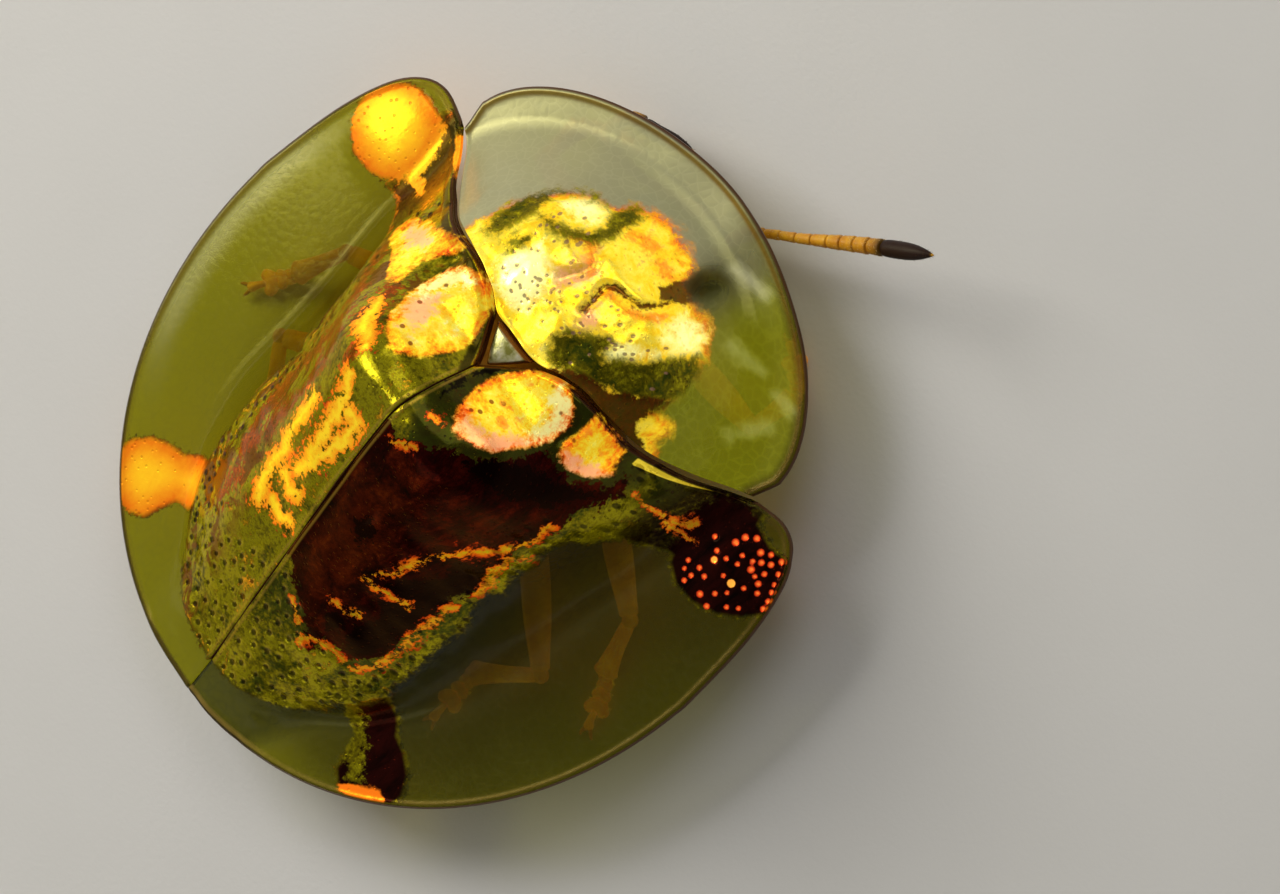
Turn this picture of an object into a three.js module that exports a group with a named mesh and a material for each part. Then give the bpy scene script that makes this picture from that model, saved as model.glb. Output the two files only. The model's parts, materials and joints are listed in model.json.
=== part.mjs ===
// A golden tortoise beetle standing on its six feet, at life size.
// Millimetres, +Z up. The head points to -Y and the beetle's left side is +X.
// The origin is under the middle of the whole outline, on the surface it stands on.
// Inside this file y counts from the middle of the wing covers, towards the tail.

import * as THREE from 'three';

// Driving dimensions of the shell, seen from above
const HALF_WIDTH = 6.07;        // widest half of the wing covers
const WIDEST_Y = -0.3;          // where they are widest
const TAIL_Y = 6.8;             // rear end of the wing covers
const TAIL_POWER = 2.05;        // superellipse power of the rear outline
const SHOULDER = [[5.93, -1.8], [5.66, -2.85], [5.3, -3.4], [4.85, -3.6]];
const HIND_ANGLE = [4.2, -3.48];
const SHIELD_FRONT_Y = -6.55;   // front of the pronotum
const SHIELD_HALF = 4.25;
const SHIELD_WIDEST_Y = -3.95;
const SHIELD_POWER = 1.78;
const LOBE_Y = -2.75;           // hind edge of the pronotum on the middle line
const SCUTELLUM_LENGTH = 0.62;
const SCUTELLUM_HALF = 0.46;

// Heights of the upper surface
const MARGIN_Z = 1.5;           // thin outer edge above the floor
const MARGIN_RISE = 0.3;        // rise of the flat margin towards the disc
const CREST = [[-3.2, 2.95], [-2.3, 3.3], [-1.6, 4.4], [-1.05, 4.9], [-0.4, 4.68], [0.9, 3.9],
  [2.85, 2.6], [4.9, 1.15], [5.8, 0.55], [6.8, 0]];
const DISC_HALF = [[-3.4, 3.3], [-2, 3.15], [-0.3, 2.95], [1, 2.85], [2.4, 2.8],
  [3.4, 2.6], [4.4, 2.2], [5.4, 1.6], [6.8, 1.2]];
const SHIELD_HUMP = 3.0;        // pronotum at its hind edge, above the margin
const SHIELD_DISC = [3.15, 2.5];
const FOOT_SPREAD = 1.32;       // how far the foot of the disc runs out
const ROUNDNESS = 1.75;         // above 1 the top is broad and the flank steep

// Thickness and clearance
const SHEET = 0.5;              // thin margin
const DISC_EXTRA = 0.45;        // more under the steep disc
const SEAM = 0.08;              // gap between shell plates
const UNDER_GAP = 0.28;         // gap between shell and body
const BELLY_Z = 0.75;           // lowest part of the body above the floor
const BODY_EDGE_Z = 1.8;        // top of the body at its rim
const CROWN_Z = 5.4;            // the most it may reach in the middle
const FOOT_HEIGHT = 0.34;

// Small helpers

const lerp = (a, b, t) => a + (b - a) * t;
const clamp01 = (t) => Math.min(1, Math.max(0, t));

function along(stations, y) {
  // Smooth curve through stations [y, value], held level beyond the ends.
  const n = stations.length;
  if (y <= stations[0][0]) return stations[0][1];
  if (y >= stations[n - 1][0]) return stations[n - 1][1];
  let i = 0;
  while (stations[i + 1][0] < y) i += 1;
  const slope = (k) => {
    const lo = stations[Math.max(k - 1, 0)];
    const hi = stations[Math.min(k + 1, n - 1)];
    return (hi[1] - lo[1]) / (hi[0] - lo[0]);
  };
  const [y0, v0] = stations[i];
  const [y1, v1] = stations[i + 1];
  const h = y1 - y0;
  const t = (y - y0) / h;
  return v0 * (1 + 2 * t) * (1 - t) ** 2 + v1 * (3 - 2 * t) * t * t
    + slope(i) * h * t * (1 - t) ** 2 - slope(i + 1) * h * t * t * (1 - t);
}

function curve2(points) {
  // An evenly travelled smooth curve through plan points.
  const spots = points.map(([x, y]) => new THREE.Vector3(x, y, 0));
  const path = new THREE.CatmullRomCurve3(spots, false, 'centripetal');
  path.arcLengthDivisions = 400;
  return (t) => {
    const p = path.getPointAt(clamp01(t));
    return [p.x, p.y];
  };
}

// Plan outlines

function baseY(x) {
  // Hind edge of the pronotum: a middle lobe, then a shallow wave to the hind angle.
  const a = Math.abs(x);
  return along([[0, LOBE_Y], [0.55, LOBE_Y - 0.02], [1.05, LOBE_Y - 0.24], [1.6, LOBE_Y - 0.32],
    [2.6, LOBE_Y - 0.2], [3.3, LOBE_Y - 0.32], [3.85, LOBE_Y - 0.56], [HIND_ANGLE[0], HIND_ANGLE[1]]], a);
}

function elytronEdge() {
  // From the hind angle of the pronotum round the shoulder to the tail.
  const points = [HIND_ANGLE, ...[...SHOULDER].reverse(), [HALF_WIDTH, WIDEST_Y]];
  for (let i = 1; i <= 16; i += 1) {
    const angle = (Math.PI / 2) * (i / 16);
    const x = HALF_WIDTH * Math.cos(angle) ** (2 / TAIL_POWER);
    const y = WIDEST_Y + (TAIL_Y - WIDEST_Y) * Math.sin(angle) ** (2 / TAIL_POWER);
    points.push([Math.max(x, SEAM / 2), y]);
  }
  return curve2(points);
}

function shieldEdge() {
  // From the right hind angle round the front to the left one (x from + to -).
  const half = [[HIND_ANGLE[0] - 0.08, HIND_ANGLE[1] - 0.02]];
  for (let i = 0; i <= 14; i += 1) {
    const angle = (Math.PI / 2) * (i / 14);
    const x = SHIELD_HALF * Math.cos(angle) ** (2 / SHIELD_POWER);
    const y = SHIELD_WIDEST_Y + (SHIELD_FRONT_Y - SHIELD_WIDEST_Y) * Math.sin(angle) ** (2 / SHIELD_POWER);
    half.push([x, y]);
  }
  const other = half.slice(0, -1).reverse().map(([x, y]) => [-x, y]);
  return curve2([...half, ...other]);
}

// Heights above the floor

function disc(t) {
  // 1 on the crest, falling smoothly to 0 where the flat margin begins.
  return 0.5 * (1 + Math.cos(Math.PI * clamp01(t / FOOT_SPREAD) ** ROUNDNESS));
}

function marginRise(x, y) {
  // The flat margin climbs a little from the outline towards the middle.
  const end = y > WIDEST_Y ? TAIL_Y : SHIELD_FRONT_Y;
  const lengthwise = (y - WIDEST_Y) / (end - WIDEST_Y);
  return MARGIN_RISE * Math.max(0, 1 - (x / HALF_WIDTH) ** 2 - lengthwise ** 2);
}

function elytronTop(x, y) {
  const rise = marginRise(x, y);
  const t = Math.abs(x) / along(DISC_HALF, y);
  return MARGIN_Z + rise + (along(CREST, y) - rise) * disc(t);
}

function shieldRadius(x, y) {
  return Math.hypot(x / SHIELD_DISC[0], Math.max(0, LOBE_Y - y) / SHIELD_DISC[1]);
}

function shieldTop(x, y) {
  const rise = marginRise(x, y);
  return MARGIN_Z + rise + (SHIELD_HUMP - rise) * disc(shieldRadius(x, y));
}

const elytronUnder = (x, y) => elytronTop(x, y) - SHEET
  - DISC_EXTRA * disc(Math.abs(x) / along(DISC_HALF, y) - 0.1);
const shieldUnder = (x, y) => shieldTop(x, y) - SHEET - DISC_EXTRA * disc(shieldRadius(x, y) - 0.1);

// Closed solids

function solid(positions, faces) {
  // A closed body from points and outward polygons, turned the right way if it is inside out.
  const index = [];
  for (const face of faces) {
    for (let i = 1; i + 1 < face.length; i += 1) index.push(face[0], face[i], face[i + 1]);
  }
  let volume = 0;
  const a = new THREE.Vector3();
  const b = new THREE.Vector3();
  const c = new THREE.Vector3();
  for (let i = 0; i < index.length; i += 3) {
    a.fromArray(positions[index[i]]);
    b.fromArray(positions[index[i + 1]]);
    c.fromArray(positions[index[i + 2]]);
    volume += a.dot(b.cross(c));
  }
  if (volume < 0) index.reverse();
  const geometry = new THREE.BufferGeometry();
  geometry.setAttribute('position', new THREE.Float32BufferAttribute(positions.flat(), 3));
  geometry.setIndex(index);
  geometry.computeVertexNormals();
  return geometry;
}

function plate(grid, top, under) {
  // A plate over a grid of plan points, with an upper sheet, a lower sheet and a rim.
  const rows = grid.length;
  const cols = grid[0].length;
  const positions = [];
  for (const height of [top, under]) {
    for (const row of grid) for (const [x, y] of row) positions.push([x, y, height(x, y)]);
  }
  const at = (sheet, i, j) => sheet * rows * cols + i * cols + j;
  const faces = [];
  for (let i = 0; i + 1 < rows; i += 1) {
    for (let j = 0; j + 1 < cols; j += 1) {
      faces.push([at(0, i, j), at(0, i, j + 1), at(0, i + 1, j + 1), at(0, i + 1, j)]);
      faces.push([at(1, i, j), at(1, i + 1, j), at(1, i + 1, j + 1), at(1, i, j + 1)]);
    }
  }
  const rim = [];
  for (let j = 0; j + 1 < cols; j += 1) rim.push([0, j]);
  for (let i = 0; i + 1 < rows; i += 1) rim.push([i, cols - 1]);
  for (let j = cols - 1; j > 0; j -= 1) rim.push([rows - 1, j]);
  for (let i = rows - 1; i > 0; i -= 1) rim.push([i, 0]);
  rim.forEach(([i, j], k) => {
    const [ni, nj] = rim[(k + 1) % rim.length];
    faces.push([at(0, i, j), at(1, i, j), at(1, ni, nj), at(0, ni, nj)]);
  });
  return solid(positions, faces);
}

function patch(near, far, left, right, rows, cols) {
  // A grid filled in between four edge curves that share their corners.
  const grid = [];
  for (let i = 0; i <= rows; i += 1) {
    const v = i / rows;
    const row = [];
    for (let j = 0; j <= cols; j += 1) {
      const u = j / cols;
      row.push([0, 1].map((k) => lerp(near(u)[k], far(u)[k], v) + lerp(left(v)[k], right(v)[k], u)
        - lerp(lerp(near(0)[k], near(1)[k], u), lerp(far(0)[k], far(1)[k], u), v)));
    }
    grid.push(row);
  }
  return grid;
}

function roundGrid(centreY, halfX, halfY, n, press = 1) {
  // A square grid pressed into an ellipse, or with less press into a rounded block.
  const grid = [];
  for (let i = 0; i <= n; i += 1) {
    const v = -1 + (2 * i) / n;
    const row = [];
    for (let j = 0; j <= n; j += 1) {
      const u = -1 + (2 * j) / n;
      row.push([
        halfX * u * Math.sqrt(1 - (press * v * v) / 2),
        centreY + halfY * v * Math.sqrt(1 - (press * u * u) / 2),
      ]);
    }
    grid.push(row);
  }
  return grid;
}

function limb(points, radii, sides = 8) {
  // A closed round limb along a smooth line, with rounded ends.
  const path = new THREE.CatmullRomCurve3(points.map((p) => new THREE.Vector3(...p)), false, 'centripetal');
  const count = radii.length;
  const positions = [];
  const faces = [];
  const up = new THREE.Vector3(0, 0, 1);
  for (let i = 0; i < count; i += 1) {
    const t = i / (count - 1);
    const centre = path.getPointAt(t);
    const ahead = path.getTangentAt(t);
    const across = new THREE.Vector3().crossVectors(ahead, up).normalize();
    const over = new THREE.Vector3().crossVectors(across, ahead);
    for (let k = 0; k < sides; k += 1) {
      const angle = (2 * Math.PI * (k + 0.5)) / sides;
      const p = centre.clone();
      p.addScaledVector(across, radii[i] * Math.cos(angle));
      p.addScaledVector(over, radii[i] * Math.sin(angle));
      positions.push(p.toArray());
    }
  }
  for (let i = 0; i + 1 < count; i += 1) {
    for (let k = 0; k < sides; k += 1) {
      const n = (k + 1) % sides;
      faces.push([i * sides + k, i * sides + n, (i + 1) * sides + n, (i + 1) * sides + k]);
    }
  }
  const ring = [...Array(sides).keys()];
  faces.push([...ring].reverse());
  faces.push(ring.map((k) => (count - 1) * sides + k));
  return solid(positions, faces);
}

function foot(ankle, tip, widths, height) {
  // A foot of lobed joints with one flat sole on the floor.
  const start = new THREE.Vector2(...ankle);
  const end = new THREE.Vector2(...tip);
  const side = end.clone().sub(start).normalize();
  side.set(-side.y, side.x);
  const last = widths.length - 1;
  const positions = [];
  const faces = [];
  const section = [[-1, 0], [-1, 0.5], [-0.55, 1], [0.55, 1], [1, 0.5], [1, 0]];
  widths.forEach((width, i) => {
    const centre = start.clone().lerp(end, i / last);
    const top = height * (i === 0 || i === last ? 0.6 : lerp(1, 0.8, i / last));
    for (const [s, z] of section) {
      positions.push([centre.x + side.x * s * width, centre.y + side.y * s * width, top * z]);
    }
  });
  const n = section.length;
  for (let i = 0; i < last; i += 1) {
    for (let k = 0; k < n; k += 1) {
      const m = (k + 1) % n;
      faces.push([i * n + k, i * n + m, (i + 1) * n + m, (i + 1) * n + k]);
    }
  }
  faces.push([...Array(n).keys()].reverse());
  faces.push([...Array(n).keys()].map((k) => last * n + k));
  return solid(positions, faces);
}

function ellipsoid(centre, radii, around, down) {
  const geometry = new THREE.SphereGeometry(1, around, down);
  geometry.rotateX(Math.PI / 2);
  geometry.scale(...radii);
  geometry.translate(...centre);
  return geometry;
}

// Colours of the animal

function paint(color, roughness, metalness) {
  return new THREE.MeshStandardMaterial({ color, roughness, metalness });
}

const MATERIALS = {
  gold: paint(0xb8862a, 0.25, 0.8),
  shield: paint(0xc9a63c, 0.25, 0.7),
  pale: paint(0xcfc39a, 0.4, 0.1),
  amber: paint(0xb5792c, 0.5, 0),
  body: paint(0x8a5a22, 0.5, 0),
  eye: paint(0x120d0a, 0.25, 0),
};

// The shell

function shellPlates() {
  const edge = elytronEdge();
  const seam = SEAM / 2;
  const innerEnd = TAIL_Y - 0.5;  // the last row of the grid lies along the seam
  const base = (u) => {
    const x = lerp(seam, HIND_ANGLE[0], u);
    // the scutellum sits in a notch between the two bases
    const notch = SCUTELLUM_LENGTH * clamp01(1 - x / SCUTELLUM_LENGTH);
    return [x, baseY(x) + SEAM + notch];
  };
  const start = base(0)[1];
  const corner = base(1);
  const rightSide = (v) => {
    const [x, y] = edge(v);
    return v === 0 ? corner : [Math.max(x, seam), y];
  };
  const tailX = rightSide(1)[0];
  const tail = (u) => [lerp(seam, tailX, u), lerp(innerEnd, TAIL_Y, u)];
  const middle = (v) => [seam, lerp(start, innerEnd, v)];
  const grid = patch(base, tail, middle, rightSide, 26, 12);
  const left = plate(grid, elytronTop, elytronUnder);
  const right = plate(grid.map((row) => row.map(([x, y]) => [-x, y])), elytronTop, elytronUnder);

  const round = shieldEdge();
  const [hindX, hindY] = round(0);
  const hind = (u) => {
    const x = lerp(hindX, -hindX, u);
    return [x, u === 0 || u === 1 ? hindY : Math.max(baseY(x), hindY)];
  };
  const side = 0.3;               // share of the rounded edge that is one side of the grid
  const shieldGrid = patch(
    hind,
    (u) => round(lerp(side, 1 - side, u)),
    (v) => round(side * v),
    (v) => round(1 - side * v),
    10,
    22,
  );
  const shield = plate(shieldGrid, shieldTop, shieldUnder);
  return { left, right, shield };
}

function scutellum() {
  // A small flat triangle between the bases of the wing covers.
  const front = LOBE_Y + SEAM;
  const tip = LOBE_Y + SCUTELLUM_LENGTH - 0.02;
  const waist = front + 0.24;
  const top = MARGIN_Z + SHIELD_HUMP - 0.02;
  const half = SCUTELLUM_HALF;
  const outline = new THREE.Shape();
  outline.moveTo(-half, front);
  outline.lineTo(half, front);
  outline.lineTo(half * 0.55, waist);
  outline.lineTo(0.06, tip);
  outline.lineTo(-0.06, tip);
  outline.lineTo(-half * 0.55, waist);
  outline.closePath();
  const geometry = new THREE.ExtrudeGeometry(outline, { depth: SHEET, bevelEnabled: false });
  geometry.translate(0, 0, top - SHEET);
  return geometry;
}

// The body under the shell

function bodyPart(centreY, halfX, halfY, n, press, room) {
  // A rounded block that fills the room below a plate, with a gently swollen underside.
  const reach = (x, y) => Math.min(1, ((x / halfX) ** 2 + ((y - centreY) / halfY) ** 2) / (2 - press));
  const belly = (x, y) => BELLY_Z + 0.4 * reach(x, y) ** 2;
  const crown = (x, y) => Math.min(room(x, y) - UNDER_GAP, lerp(CROWN_Z, BODY_EDGE_Z, reach(x, y)));
  const top = (x, y) => Math.max(belly(x, y) + 0.25, crown(x, y));
  return plate(roundGrid(centreY, halfX, halfY, n, press), top, belly);
}

// Legs: hip, knee, ankle and toe on the beetle's left, mirrored on its right

const LEGS = {
  front: {
    hip: [1.0, -3.75, 0.44], knee: [3.0, -3.95, 0.62], ankle: [3.05, -4.83, 0.43], toe: [2.22, -5.3],
  },
  middle: {
    hip: [1.5, -1.5, 0.44], knee: [4.12, -0.1, 0.64], ankle: [4.5, 0.95, 0.43], toe: [4.95, 1.85],
  },
  hind: {
    hip: [1.4, 0.1, 0.44], knee: [3.8, 1.8, 0.62], ankle: [2.9, 2.85, 0.43], toe: [3.0, 4.0],
  },
};
const THIGH = 0.27;
const SHIN = 0.25;
const JOINT_GAP = 0.3;

function stretch(from, to, startGap, endGap) {
  // The two ends of a limb, drawn in from its joints.
  const a = new THREE.Vector3(...from);
  const b = new THREE.Vector3(...to);
  const way = b.clone().sub(a).normalize();
  return [a.addScaledVector(way, startGap).toArray(), b.addScaledVector(way, -endGap).toArray()];
}

function legPieces(leg, sign) {
  const flip = ([x, ...rest]) => [sign * x, ...rest];
  const hip = flip(leg.hip);
  const knee = flip(leg.knee);
  const ankle = flip(leg.ankle);
  const toe = flip(leg.toe);
  const thigh = limb(stretch(hip, knee, 0, 0.05), [0.2, 0.25, THIGH, THIGH, 0.26, 0.25, 0.16]);
  const shin = limb(stretch(knee, ankle, JOINT_GAP, 0.02), [0.16, 0.24, SHIN, SHIN, 0.2]);
  const footStart = stretch([ankle[0], ankle[1], 0], [toe[0], toe[1], 0], 0.12, 0)[0].slice(0, 2);
  const tarsus = foot(footStart, toe, [0.18, 0.27, 0.24, 0.33, 0.29, 0.4, 0.41, 0.2, 0.15], FOOT_HEIGHT);
  return { femur: thigh, tibia: shin, tarsus };
}

// Head, eyes, mouth and antennae

const HEAD = [0, -4.85, 1.35];
const FEELER_RADII = [0.25, 0.26, 0.25, 0.26, 0.25, 0.25, 0.25, 0.25, 0.26, 0.25, 0.26, 0.26, 0.28,
  0.28, 0.29, 0.29, 0.27, 0.16];
const RIGHT_FEELER = [[-0.3, -5.68, 0.82], [-0.45, -6.1, 0.7], [-1.2, -6.85, 0.95], [-2.2, -7.85, 1.35],
  [-3.1, -8.7, 1.75]];
const LEFT_FEELER = [[0.3, -5.68, 0.82], [0.95, -5.4, 0.72], [1.95, -5.1, 0.7], [2.55, -5.28, 0.7],
  [2.48, -5.66, 0.7], [1.95, -5.88, 0.7], [1.3, -6.2, 0.72]];

// Assembly

const parts = new THREE.Group();

function add(name, geometry, material) {
  const mesh = new THREE.Mesh(geometry, MATERIALS[material]);
  mesh.name = name;
  parts.add(mesh);
}

const shell = shellPlates();
add('elytron_left', shell.left, 'gold');
add('elytron_right', shell.right, 'gold');
add('pronotum', shell.shield, 'shield');
add('scutellum', scutellum(), 'pale');

add('prothorax', bodyPart(-3.36, 2.3, 0.76, 8, 0.6, shieldUnder), 'body');
add('thorax', bodyPart(-0.95, 2.62, 1.58, 10, 0.5, elytronUnder), 'body');
add('abdomen', bodyPart(3.05, 2.62, 2.35, 12, 0.85, elytronUnder), 'body');

add('head', ellipsoid(HEAD, [0.78, 0.62, 0.62], 14, 10), 'amber');
for (const [side, sign] of [['left', 1], ['right', -1]]) {
  const eye = [sign * 0.98, HEAD[1] - 0.2, HEAD[2] + 0.1];
  add(`eye_${side}`, ellipsoid(eye, [0.24, 0.36, 0.42], 10, 8), 'eye');
}
add('mouthparts', ellipsoid([0, HEAD[1] - 0.2, 0.52], [0.36, 0.28, 0.2], 10, 8), 'amber');
add('antenna_left', limb(LEFT_FEELER, FEELER_RADII), 'amber');
add('antenna_right', limb(RIGHT_FEELER, FEELER_RADII), 'amber');

for (const [side, sign] of [['left', 1], ['right', -1]]) {
  for (const [pair, leg] of Object.entries(LEGS)) {
    const pieces = legPieces(leg, sign);
    for (const [piece, geometry] of Object.entries(pieces)) {
      add(`${piece}_${pair}_${side}`, geometry, 'amber');
    }
  }
}

// The origin goes under the middle of the whole outline
const box = new THREE.Box3().setFromObject(parts);
parts.position.set(-(box.min.x + box.max.x) / 2, -(box.min.y + box.max.y) / 2, -box.min.z);
const beetle = new THREE.Group();
beetle.add(parts);

export default beetle;
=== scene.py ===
# %% [markdown]
# A golden tortoise beetle, at life size
#
# The animal is 13 mm long. A low dome of metallic gold sits in a wide, clear
# brim, like a hat made of amber glass. This script starts from the solid frame of
# the beetle, which fixes where every plate, leg and feeler is, and gives each one
# its fine shape and its finish. Sizes are in millimetres until the last moment,
# because a beetle is easier to think about that way, and Blender gets metres.

# %% Load the frame
import json
import math

import bpy
import numpy as np
from mathutils import Matrix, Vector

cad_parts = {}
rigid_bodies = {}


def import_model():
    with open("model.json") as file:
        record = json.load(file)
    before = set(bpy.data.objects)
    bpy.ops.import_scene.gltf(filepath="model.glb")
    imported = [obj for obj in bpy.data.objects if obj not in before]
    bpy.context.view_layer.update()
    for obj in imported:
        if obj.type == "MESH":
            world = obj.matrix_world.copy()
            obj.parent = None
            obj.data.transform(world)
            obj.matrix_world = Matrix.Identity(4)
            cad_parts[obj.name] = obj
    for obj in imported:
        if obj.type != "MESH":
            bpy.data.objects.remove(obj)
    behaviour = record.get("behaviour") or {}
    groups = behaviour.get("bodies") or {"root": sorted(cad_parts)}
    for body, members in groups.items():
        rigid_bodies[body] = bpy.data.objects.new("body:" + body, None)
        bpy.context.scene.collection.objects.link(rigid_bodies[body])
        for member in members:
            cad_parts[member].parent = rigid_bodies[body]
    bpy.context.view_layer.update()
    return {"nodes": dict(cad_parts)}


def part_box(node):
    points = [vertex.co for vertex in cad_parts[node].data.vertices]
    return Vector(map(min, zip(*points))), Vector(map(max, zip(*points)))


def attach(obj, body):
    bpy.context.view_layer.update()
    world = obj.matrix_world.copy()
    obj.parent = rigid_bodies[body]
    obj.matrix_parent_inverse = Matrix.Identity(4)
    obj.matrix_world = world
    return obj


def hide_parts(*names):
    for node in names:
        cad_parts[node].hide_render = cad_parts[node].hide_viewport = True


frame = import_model()
MM = 0.001


def corner(node):
    """Lowest and highest corner of a frame node, in millimetres."""
    low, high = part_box(node)
    return np.array(low) / MM, np.array(high) / MM


shell_low, shell_high = corner("elytron_left")
print("frame nodes:", len(frame["nodes"]), "wing cover from", shell_low.round(2), "to", shell_high.round(2))

# %% [markdown]
# Places on the beetle
#
# The shell has its own plan: x grows to the beetle's left, y grows towards the
# tail and starts in the middle of the shell. The frame's origin is elsewhere,
# under the middle of the whole outline with the feeler, so one shift joins the two.

# %% The shell's plan and its shift
HALF_WIDTH = 6.07
WIDEST_Y = -0.3
TAIL_Y = 6.8
TAIL_POWER = 2.05
SHOULDER = [(4.85, -3.6), (5.3, -3.4), (5.66, -2.85), (5.93, -1.8)]
HIND_ANGLE = (4.2, -3.48)
SHIELD_FRONT_Y = -6.55
SHIELD_HALF = 4.25
SHIELD_WIDEST_Y = -3.95
SHIELD_POWER = 1.78
LOBE_Y = -2.75
MARGIN_Z = 1.5
SHIFT_Y = shell_high[1] - TAIL_Y
print("shift of the shell's plan along y:", round(float(SHIFT_Y), 3), "margin height:", MARGIN_Z)


def to_frame(points):
    """Shell plan points, in millimetres, as frame points in metres."""
    points = np.asarray(points, float).reshape(-1, 3)
    return (points + [0.0, SHIFT_Y, 0.0]) * MM


# %% [markdown]
# Smooth curves and noise
#
# Heights and widths are given at a few stations and drawn smoothly between them.
# Natural surfaces also need unevenness. A small lattice noise, made from a seeded
# table of random slopes, gives the same bumps in every run.

# %% Curves, steps and noise
def along(stations, y):
    """A smooth curve through (place, value) stations, level beyond its ends."""
    places, values = (np.array(column, float) for column in zip(*stations))
    slopes = np.gradient(values, places)
    slopes[1:-1] = (values[2:] - values[:-2]) / (places[2:] - places[:-2])
    slopes[0] = (values[1] - values[0]) / (places[1] - places[0])
    slopes[-1] = (values[-1] - values[-2]) / (places[-1] - places[-2])
    y = np.clip(y, places[0], places[-1])
    i = np.clip(np.searchsorted(places, y, side="right") - 1, 0, len(places) - 2)
    h = places[i + 1] - places[i]
    t = (y - places[i]) / h
    return (values[i] * (1 + 2 * t) * (1 - t) ** 2 + values[i + 1] * (3 - 2 * t) * t * t
            + slopes[i] * h * t * (1 - t) ** 2 - slopes[i + 1] * h * t * t * (1 - t))


def step(low, high, value):
    """0 below low, 1 above high, smooth between."""
    t = np.clip((np.asarray(value, float) - low) / (high - low), 0, 1)
    return t * t * (3 - 2 * t)


def bell(distance, width):
    return np.exp(-(np.asarray(distance) / width) ** 2)


NOISE_TABLE = np.random.default_rng(11).uniform(0, 2 * math.pi, (256, 256))


def noise(x, y):
    """Gradient noise in the plane, about -0.7 to 0.7, one bump per unit."""
    x0 = np.floor(x).astype(int)
    y0 = np.floor(y).astype(int)
    fx = x - x0
    fy = y - y0
    sx = fx * fx * fx * (fx * (fx * 6 - 15) + 10)
    sy = fy * fy * fy * (fy * (fy * 6 - 15) + 10)

    def slope(i, j):
        angle = NOISE_TABLE[(x0 + i) % 256, (y0 + j) % 256]
        return np.cos(angle) * (fx - i) + np.sin(angle) * (fy - j)

    near = slope(0, 0) * (1 - sx) + slope(1, 0) * sx
    far = slope(0, 1) * (1 - sx) + slope(1, 1) * sx
    return near * (1 - sy) + far * sy


# %% [markdown]
# Outlines of the shell
#
# From above the wing covers make a broad oval: a superellipse behind, and a few
# given points where the shoulder turns. The pronotum is a half moon in
# front of it. Between them runs a wavy edge with a small lobe in the middle.

# %% Outline curves
def even_curve(points, count=1200):
    """A function of 0 to 1 that travels evenly along a smooth line through points."""
    points = np.array(points, float)
    lengths = np.concatenate([[0], np.cumsum(np.hypot(*np.diff(points, axis=0).T) ** 0.5)])
    fine = np.linspace(0, lengths[-1], count)
    line = np.stack([along(list(zip(lengths, points[:, k])), fine) for k in (0, 1)], 1)
    travelled = np.concatenate([[0], np.cumsum(np.hypot(*np.diff(line, axis=0).T))])
    travelled /= travelled[-1]
    return lambda t: np.stack([np.interp(t, travelled, line[:, k]) for k in (0, 1)], -1)


def superellipse(half, centre, end, power, turns):
    """Points of a quarter superellipse, from the widest place to the end."""
    angle = np.linspace(0, math.pi / 2, turns)
    x = half * np.cos(angle).clip(0) ** (2 / power)
    y = centre + (end - centre) * np.sin(angle) ** (2 / power)
    return np.stack([x, y], 1)


def base_y(x):
    """Hind edge of the pronotum at a distance x from the middle line."""
    stations = [(0, LOBE_Y), (0.55, LOBE_Y - 0.02), (1.05, LOBE_Y - 0.24), (1.6, LOBE_Y - 0.32),
                (2.6, LOBE_Y - 0.2), (3.3, LOBE_Y - 0.32), (3.85, LOBE_Y - 0.56), HIND_ANGLE]
    return along(stations, np.abs(x))


tail_points = superellipse(HALF_WIDTH, WIDEST_Y, TAIL_Y, TAIL_POWER, 33)
cover_edge = even_curve([HIND_ANGLE, *SHOULDER, *tail_points])
shield_half = superellipse(SHIELD_HALF, SHIELD_WIDEST_Y, SHIELD_FRONT_Y, SHIELD_POWER, 29)
shield_points = [(HIND_ANGLE[0] - 0.08, HIND_ANGLE[1] - 0.02), *shield_half]
shield_edge = even_curve([*shield_points, *[(-x, y) for x, y in shield_points[-2::-1]]])
print("outline passes the shoulder at", cover_edge(0.08).round(2), "and ends at", cover_edge(1.0).round(2))

# %% [markdown]
# Heights of the shell
#
# The crest line climbs from the scutellum to a blunt hump and then falls evenly to
# the tail. Across the body the dome is broad on top and steep at the flank, and it
# runs out in a foot where the flat clear margin begins.

# %% The dome
MARGIN_RISE = 0.3
CREST = [(-3.2, 2.95), (-2.3, 3.3), (-1.6, 4.4), (-1.05, 4.9), (-0.4, 4.68), (0.9, 3.9),
         (2.85, 2.6), (4.9, 1.15), (5.8, 0.55), (6.8, 0)]
DISC_HALF = [(-3.4, 3.3), (-2, 3.15), (-0.3, 2.95), (1, 2.85), (2.4, 2.8),
             (3.4, 2.6), (4.4, 2.2), (5.4, 1.6), (6.8, 1.2)]
SHIELD_HUMP = 3.0
SHIELD_DISC = (3.15, 2.5)
FOOT_SPREAD = 1.32
ROUNDNESS = 1.75


def dome(t):
    """1 on the crest, 0 where the margin begins."""
    return 0.5 * (1 + np.cos(math.pi * np.clip(t / FOOT_SPREAD, 0, 1) ** ROUNDNESS))


def margin_rise(x, y):
    end = np.where(y > WIDEST_Y, TAIL_Y, SHIELD_FRONT_Y)
    lengthwise = (y - WIDEST_Y) / (end - WIDEST_Y)
    return MARGIN_RISE * np.clip(1 - (x / HALF_WIDTH) ** 2 - lengthwise ** 2, 0, None)


def cover_across(x, y):
    """0 at the seam, 1 where the gold disc ends and the margin begins."""
    return np.abs(x) / along(DISC_HALF, y)


def cover_top(x, y):
    rise = margin_rise(x, y)
    return MARGIN_Z + rise + (along(CREST, y) - rise) * dome(cover_across(x, y))


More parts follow.
